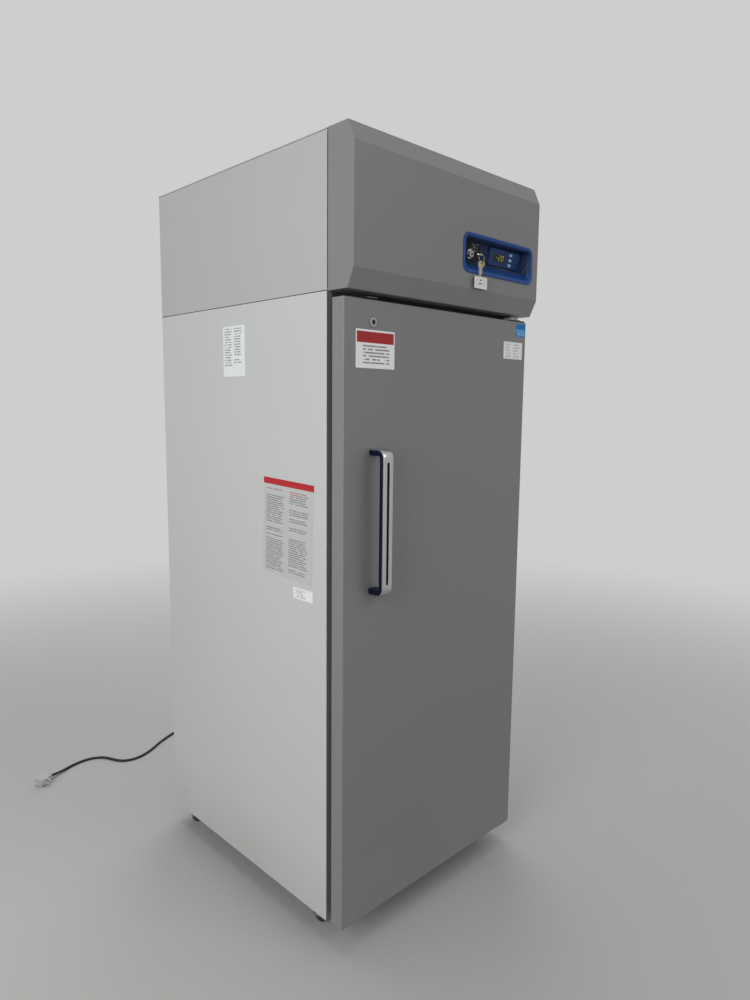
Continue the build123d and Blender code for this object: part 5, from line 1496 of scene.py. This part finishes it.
@dataclass
class DoorLeaf(Assembly):
    """The door with its handle, lock, hinges and labels."""

    strap_high: float = 1.282
    strap_low: float = 0.926
    strap_radius: float = 22.0 * MM
    strap_thick: float = 4.0 * MM
    grip_thick: float = 12.5 * MM
    slot_width: float = 8.0 * MM
    slot_end: float = 31.0 * MM

    finishes: ClassVar[dict[str, Finish]] = {
        "door_pan": DOOR_ENAMEL,
        "door_core": CORE_FOAM,
        "door_liner": LINER_ENAMEL,
        "door_gasket": GASKET_RUBBER,
        "lock_case": CHROME,
        "lock_plug": DARK_STEEL,
        "lock_bolt": SATIN_STEEL,
        "hinge_bushings": ACETAL,
    }
    labels: ClassVar[dict[Label, Pair]] = {
        Label(
            "door_notice_label", Facing.FRONT, (127 * MM, 88 * MM), DOOR_NOTICE_PRINT
        ): (-0.2555, 1.513),
        Label("door_slip_label", Facing.FRONT, (90 * MM, 48 * MM), DOOR_SLIP_PRINT): (0.295, 1.543),
        Label("door_square_label", Facing.FRONT, (46 * MM, 37 * MM), BLUE_PRINT): (0.330, 1.6025),
    }

    def bend_handle(self) -> None:
        """Makes the slotted metal strap with its round corners and the navy grip inside it."""
        low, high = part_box("handle_strap")
        inner_low, inner_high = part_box("handle_grip")
        thick = self.strap_thick
        strap = Bow(
            low.x, high.x, high.y, low.y, self.strap_low, self.strap_high, self.strap_radius,
            thick, self.slot_width, self.slot_end,
        )
        grip = Bow(
            inner_low.x, inner_high.x, high.y, low.y + thick, self.strap_low + thick,
            self.strap_high - thick, self.strap_radius - thick, self.grip_thick,
        )
        for name, bow, finish, slot, node in (
            ("rounded_handle_strap", strap, HANDLE_METAL, "handle_metal", "handle_strap"),
            ("rounded_handle_grip", grip, GRIP_PLASTIC, "handle_navy", "handle_grip"),
        ):
            blank = Blank()
            bow.fill(blank.work)
            settle(soften(blank.finish(name, finish)), "door", slot, node)

    def make(self) -> None:
        """Makes the handle and sticks three plain labels on the door's face."""
        self.bend_handle()
        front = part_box("door_pan")[0].y
        for label, (x, z) in self.labels.items():
            label.stick("door", (x, front, z))


@dataclass
class Digit:
    """One seven-segment digit, as the names of its lit bars."""

    lit: str
    lying_gap_share: float = 0.7
    standing_gap_share: float = 0.45

    bar_place_shares: ClassVar[dict[str, tuple[float, float, bool]]] = {
        "a": (0.0, 1.0, True), "g": (0.0, 0.0, True), "d": (0.0, -1.0, True),
        "f": (-1.0, 0.5, False), "b": (1.0, 0.5, False),
        "e": (-1.0, -0.5, False), "c": (1.0, -0.5, False),
    }

    def bars(self, half_w: float, half_h: float, stroke: float) -> list[tuple[float, ...]]:
        """Gives the lit bars as rectangles.

        Args:
            half_w: Half the digit's width.
            half_h: Half the digit's height.
            stroke: A bar's thickness.

        Returns:
            The centre across and up, and the half sizes, of each bar.
        """
        lying_half = (half_w - stroke * self.lying_gap_share, stroke / 2)
        standing_half = (stroke / 2, half_h / 2 - stroke * self.standing_gap_share)
        made = []
        for key in self.lit:
            across, up, lying = self.bar_place_shares[key]
            half = lying_half if lying else standing_half
            made.append((across * half_w, up * half_h, *half))
        return made


@dataclass
class HoodControls(Assembly):
    """The hood with its control recess, display, buttons, keys and card tag."""

    digit_half_w: float = 3.6 * MM
    digit_half_h: float = 6.4 * MM
    digit_stroke: float = 1.7 * MM
    digit_pitch: float = 13.0 * MM
    digit_slant: float = 0.10
    digit_levels: Pair = (0.02 * MM, 0.12 * MM)
    lit_digits: tuple[str, ...] = ("g", "abdeg", "abcdef")
    plate: Label = Label(
        "key_switch_plate", Facing.FASCIA, (84 * MM, 49 * MM), KEY_PLATE, "window_dark",
        corner=10.0 * MM,
    )
    plate_centre: Triple = (0.0765, -0.39518, 1.786)
    pocket_half: Pair = (141 * MM, 38 * MM)
    pocket_margin: float = 1.0 * MM
    lip_cut: float = 7.5 * MM
    lip_depth: float = 3.4 * MM
    loose_edges: float = 0.01 * MM
    bezel_crease: float = 30.0
    tag_print: Label = Label("tag_print_patch", Facing.FRONT, (46 * MM, 20 * MM), TAG_PRINT)
    tag_face: float = 0.5 * MM
    tag_print_drop: float = 17.0 * MM

    finishes: ClassVar[dict[str, Finish]] = {
        "hood": DOOR_ENAMEL,
        "hood_hinge_leaves": SATIN_STEEL,
        "display_module": PANEL_FILM_AND_SHADE,
        "display_window": LENS_PLASTIC,
        **{f"button_{number}": BUTTON_PLASTIC for number in (1, 2, 3)},
        "key_switch": CHROME,
        "key": NICKEL,
        "spare_key": BRASS,
        "key_tag": CARD,
    }

    def trim_bezel(self) -> None:
        """Slopes the lip's inner edge on a merged copy of the bezel, which leaves a narrow rim."""
        low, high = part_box("control_bezel")
        middle = (low + high) / 2
        half_x, half_z = self.pocket_half
        margin = self.pocket_margin
        blank = Blank()
        work = blank.work
        work.from_mesh(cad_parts["control_bezel"].data)
        bmesh.ops.remove_doubles(work, verts=work.verts, dist=self.loose_edges)
        everything = [*work.verts, *work.edges, *work.faces]
        behind = (0, low.y + self.lip_depth, 0)
        bmesh.ops.bisect_plane(work, geom=everything, plane_co=behind, plane_no=(0, 1, 0))
        for vert in work.verts:
            across, up = vert.co.x - middle.x, vert.co.z - middle.z
            inside = abs(across) < half_x + margin and abs(up) < half_z + margin
            if inside and vert.co.y < low.y + self.lip_depth / 2:
                vert.co.x = middle.x + across * (1 + self.lip_cut / half_x)
                vert.co.z = middle.z + up * (1 + self.lip_cut / half_z)
        bezel = blank.finish("sloped_lip_bezel", BEZEL_PLASTIC)
        settle(soften(bezel, self.bezel_crease), "hood", "bezel_navy", "control_bezel")

    @staticmethod
    def face_middle(node: str) -> Vector:
        """Gives the middle of a node's outer face, where the node lies flat on the fascia.

        Args:
            node: The node's name.

        Returns:
            The middle of its face.
        """
        low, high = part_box(node)
        slope = math.tan(HOOD_LEAN)
        straight = math.cos(HOOD_LEAN) - math.sin(HOOD_LEAN) * slope
        thick = (high.y - low.y - (high.z - low.z) * slope) / straight
        return (low + high) / 2 + Facing.FASCIA.directions()[2] * (thick / 2)

    def light_digits(self) -> None:
        """Puts the lit reading behind the lens, with every lit bar as a thin slab on its face."""
        middle = self.face_middle("display_window")
        right, up, out = Facing.FASCIA.directions()
        sizes = (self.digit_half_w, self.digit_half_h, self.digit_stroke)
        blank = Blank()
        for place, lit in enumerate(self.lit_digits):
            shift = (place - (len(self.lit_digits) - 1) / 2) * self.digit_pitch
            for a, b, half_a, half_b in Digit(lit).bars(*sizes):
                ring = []
                for side_a, side_b in SQUARE:
                    height = b + side_b * half_b
                    across = a + side_a * half_a + height * self.digit_slant + shift
                    ring.append(middle + right * across + up * height)
                blank.skin([[point + out * level for point in ring] for level in self.digit_levels])
        settle(blank.finish("display_digits", DIGIT_GLOW), "hood", "window_dark")

    def make(self) -> None:
        """Makes the bezel, the digits, the plate round the key switch and the tag's print."""
        self.trim_bezel()
        self.light_digits()
        self.plate.stick("hood", self.plate_centre)
        low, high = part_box("key_tag")
        middle = (low + high) / 2
        face = middle.y - self.tag_face
        self.tag_print.stick("key_hanger", (middle.x, face, low.z + self.tag_print_drop))


@dataclass
class MachineRoom(Assembly):
    """The condensing unit behind the hood, with real fins and return bends on both coils."""

    fin_pitch: float = 4.5 * MM
    fin_thick: float = 0.5 * MM
    tube_r: float = 4.2 * MM
    tube_pitch: float = 24.0 * MM
    tube_sides: int = 8
    tube_rows: int = 2
    bend_steps: int = 8
    bend_room: float = 16.0 * MM
    plate_thick: float = 1.5 * MM

    finishes: ClassVar[dict[str, Finish]] = {
        "fan_shroud": BLACK_ENAMEL,
        "condenser_motor": BLACK_ENAMEL,
        "condenser_fan": FIN_METAL,
        "compressor": BLACK_ENAMEL,
        "refrigerant_pipes": COPPER,
        "control_box": GALVANISED,
        "drain_pan": PAN_PLASTIC,
    }

    def fin_stack(self, node: str, name: str) -> Piece:
        """Makes a stack of thin fins between two end plates, with return bends at both ends.

        Args:
            node: The CAD node whose space it fills.
            name: The piece's name.

        Returns:
            The joined coil.
        """
        low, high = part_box(node)
        start, end = low.x + self.bend_room, high.x - self.bend_room
        clear = end - start - 2 * self.plate_thick
        count = int(clear / self.fin_pitch)
        pitch = clear / count
        fin = Blank()
        fin.slab(Vector((0, low.y, low.z)), Vector((self.fin_thick, high.y, high.z)))
        row = Row((start + self.plate_thick + pitch / 2, 0, 0), (pitch, 0, 0), (count, 1, 1))
        fins = self.rows.repeat(name + "_fins", fin.finish(name + "_fin", FIN_METAL), FIN_METAL, row)
        plates = Blank()
        for x in (start, end - self.plate_thick):
            plates.slab(Vector((x, low.y, low.z)), Vector((x + self.plate_thick, high.y, high.z)))
        ends = plates.finish(name + "_plates", GALVANISED)
        return join(name, [fins, ends, *self.return_bends(name, low, high)])

    def bend_unit(self, name: str, side: int) -> Piece:
        """Makes one return bend, as rings along a half ellipse.

        Args:
            name: The unit's name.
            side: -1 for the left end plate and 1 for the right one.

        Returns:
            The unit piece around the origin.
        """
        reach = side * (self.bend_room - self.tube_r)
        gap = self.tube_pitch / 2
        rings = []
        for step in range(self.bend_steps + 1):
            angle = math.pi * step / self.bend_steps
            middle = Vector((reach * math.sin(angle), 0, gap * math.cos(angle)))
            outward = Vector((side * math.sin(angle), 0, math.cos(angle)))
            rings.append([
                middle + (outward * math.cos(turn) + Vector((0, 1, 0)) * math.sin(turn)) * self.tube_r
                for turn in circle(self.tube_sides)
            ])
        blank = Blank()
        blank.skin(rings)
        return soften(blank.finish(name, COPPER))

    def return_bends(self, name: str, low: Vector, high: Vector) -> list[Piece]:
        """Makes the half-round bends that join the tubes at each end.

        Args:
            name: The coil's name.
            low: The coil's lowest corner.
            high: The coil's highest corner.

        Returns:
            The left bends and the right bends.
        """
        pairs = int((high.z - low.z) / (2 * self.tube_pitch))
        depth = high.y - low.y
        made = []
        for side, x, lift_share, copies in (
            (-1, low.x + self.bend_room, 1.0, pairs),
            (1, high.x - self.bend_room, 1.5, pairs - 1),
        ):
            first = (x, low.y + depth / 4, low.z + self.tube_pitch * lift_share)
            pitch = (0, depth / self.tube_rows, 2 * self.tube_pitch)
            row = Row(first, pitch, (1, self.tube_rows, copies))
            unit = self.bend_unit(name + "_bend", side)
            made.append(self.rows.repeat(f"{name}_bends_{side}", unit, COPPER, row))
        return made

    def make(self) -> None:
        """Makes the coils of the condenser and of the evaporator."""
        for kind in ("condenser", "evaporator"):
            coil = self.fin_stack(f"{kind}_coil", f"{kind}_finned_coil")
            settle(coil, "cabinet", "fin_aluminium", f"{kind}_coil")


@dataclass
class ColdSpace(Assembly):
    """The storage space: uprights, round-wire shelves and the evaporator."""

    frame_r: float = 3.5 * MM
    wire_r: float = 1.9 * MM
    rib_r: float = 2.2 * MM
    rod_sides: int = 8
    wires: int = 26
    shelf_levels: int = 4

    finishes: ClassVar[dict[str, Finish]] = {
        "shelf_supports": SATIN_STEEL,
        "evaporator_cover": COVER_PLASTIC,
        "evaporator_motor": BLACK_ENAMEL,
        "evaporator_fan": FIN_METAL,
    }

    def rods(self, name: str, length: float, along: Vector, radius: float, row: Row) -> Piece:
        """Makes a row of equal round rods.

        Args:
            name: The piece's name.
            length: A rod's length.
            along: The direction that the rods run in.
            radius: A rod's radius.
            row: Where the rods' middles are.

        Returns:
            The rods as one mesh.
        """
        blank = Blank()
        blank.rod(-along * (length / 2), along * (length / 2), radius, self.rod_sides)
        unit = soften(blank.finish(name + "_unit", SHELF_COAT))
        return self.rows.repeat(name, unit, SHELF_COAT, row)

    def make(self) -> None:
        """Makes the four shelves from a rod frame, two ribs and many thin wires."""
        low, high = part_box("wire_shelves")
        middle = (low + high) / 2
        inset = self.frame_r
        levels = self.shelf_levels
        rise = (high.z - low.z - 2 * inset) / (levels - 1)
        width, depth = high.x - low.x, high.y - low.y
        clear_width, clear_depth = width - 2 * inset, depth - 2 * inset
        base = low.z + inset
        top = base + self.frame_r - self.wire_r
        step = clear_width / (self.wires + 1)
        along_x, along_y = Vector((1, 0, 0)), Vector((0, 1, 0))
        sides = Row((low.x + inset, middle.y, base), (clear_width, 0, rise), (2, 1, levels))
        ends = Row((middle.x, low.y + inset, base), (0, clear_depth, rise), (1, 2, levels))
        under = (middle.x, low.y + depth / 3, top - self.wire_r - self.rib_r)
        ribs = Row(under, (0, depth / 3, rise), (1, 2, levels))
        wires = Row((low.x + inset + step, middle.y, top), (step, 0, rise), (self.wires, 1, levels))
        shelves = join("round_wire_shelves", [
            self.rods("shelf_sides", clear_depth, along_y, self.frame_r, sides),
            self.rods("shelf_ends", width, along_x, self.frame_r, ends),
            self.rods("shelf_ribs", clear_width, along_x, self.rib_r, ribs),
            self.rods("shelf_wires", clear_depth, along_y, self.wire_r, wires),
        ])
        settle(shelves, "cabinet", "shelf_coat", "wire_shelves")


@dataclass
class Casters(Assembly):
    """Four swivel casters with hexagon nuts on their axles."""

    nut_r: float = 5.4 * MM
    nut_thick: float = 2.2 * MM
    nut_sides: int = 6
    head_reach: float = 16.6 * MM

    finishes: ClassVar[dict[str, Finish]] = {
        f"caster_{part}_{corner}": finish
        for corner in CASTER_CORNERS
        for part, finish in (("fork", SATIN_STEEL), ("wheel", TREAD_RUBBER))
    }

    def make(self) -> None:
        """Puts a hexagon nut on each end of every axle."""
        for corner in CASTER_CORNERS:
            low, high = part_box(f"caster_wheel_{corner}")
            blank = Blank()
            for side in (-1, 1):
                inner = (low + high) / 2 + Vector((side * self.head_reach, 0, 0))
                outer = inner + Vector((side * self.nut_thick, 0, 0))
                blank.rod(inner, outer, self.nut_r, self.nut_sides)
            nuts = blank.finish(f"axle_nuts_{corner}", SATIN_STEEL)
            settle(nuts, f"fork_{corner}", "bright_steel")


@dataclass
class MainsLead(Assembly):
    """The mains lead from its strain relief down the back and over the floor to the plug."""

    diameter: float = 9.0 * MM
    length: float = 2.70
    bevel_steps: int = 5
    order: int = 3
    steps: int = 12

    finishes: ClassVar[dict[str, Finish]] = {
        "cord_gland": CORD_RUBBER,
        "mains_plug": PLUG_PLASTIC,
    }
    route: ClassVar[tuple[Triple, ...]] = (
        (120.0, 476.0, 1700.0), (120.0, 510.0, 1700.0), (119.0, 543.0, 1684.0),
        (118.0, 566.0, 1648.0), (117.0, 575.0, 1600.0), (116.0, 578.0, 1530.0),
        (115.0, 579.0, 1398.0), (114.0, 581.0, 1266.0), (113.0, 584.0, 1134.0),
        (112.0, 588.0, 1003.0), (110.0, 593.0, 873.0), (108.0, 599.0, 744.0),
        (106.0, 606.0, 616.0), (104.0, 615.0, 490.0), (102.0, 627.0, 370.0),
        (100.0, 645.0, 262.0), (99.0, 672.0, 168.0), (98.0, 712.0, 90.0),
        (97.0, 768.0, 34.0), (95.0, 838.0, 4.5), (92.0, 900.0, 4.5),
        (78.0, 962.0, 4.5), (38.0, 1012.0, 4.5), (-30.0, 1034.0, 4.5),
        (-129.0, 987.0, 4.5), (-195.0, 943.0, 4.5), (-257.0, 922.0, 4.5),
        (-304.0, 934.0, 4.5), (-329.0, 968.0, 4.5), (-350.0, 1022.0, 4.5),
        (-400.0, 1048.0, 4.5), (-462.0, 1040.0, 5.0), (-520.0, 1012.0, 8.0),
        (-560.0, 996.0, 15.0),
    )

    def lay_cord(self) -> Piece:
        """Lays the lead as one smooth open curve.

        Returns:
            The curve object.
        """
        curve = bpy.data.curves.new("mains_lead", "CURVE")
        curve.dimensions = "3D"
        curve.bevel_depth = self.diameter / 2
        curve.bevel_resolution = self.bevel_steps
        curve.use_fill_caps = True
        spline = curve.splines.new("NURBS")
        spline.points.add(len(self.route) - 1)
        for point, (x, y, z) in zip(spline.points, self.route):
            point.co = (x * MM, y * MM, z * MM, 1.0)
        spline.order_u = self.order
        spline.use_endpoint_u = True
        spline.resolution_u = self.steps
        curve.materials.append(CORD_RUBBER.material())
        return add_object("mains_lead", curve)

    def make(self) -> None:
        lead = self.lay_cord()
        settle(lead, "cabinet", "cord_black", "mains_cord")


def main() -> None:
    """Builds the studio and every sub-assembly in order."""
    logging.basicConfig(level=logging.INFO, format="%(name)s: %(message)s")
    Studio().build()
    rows = Rows()
    for kind in (MainsLead, CabinetShell, DoorLeaf, HoodControls, MachineRoom, ColdSpace, Casters):
        kind(rows).build()


if __name__ == "__main__":
    main()
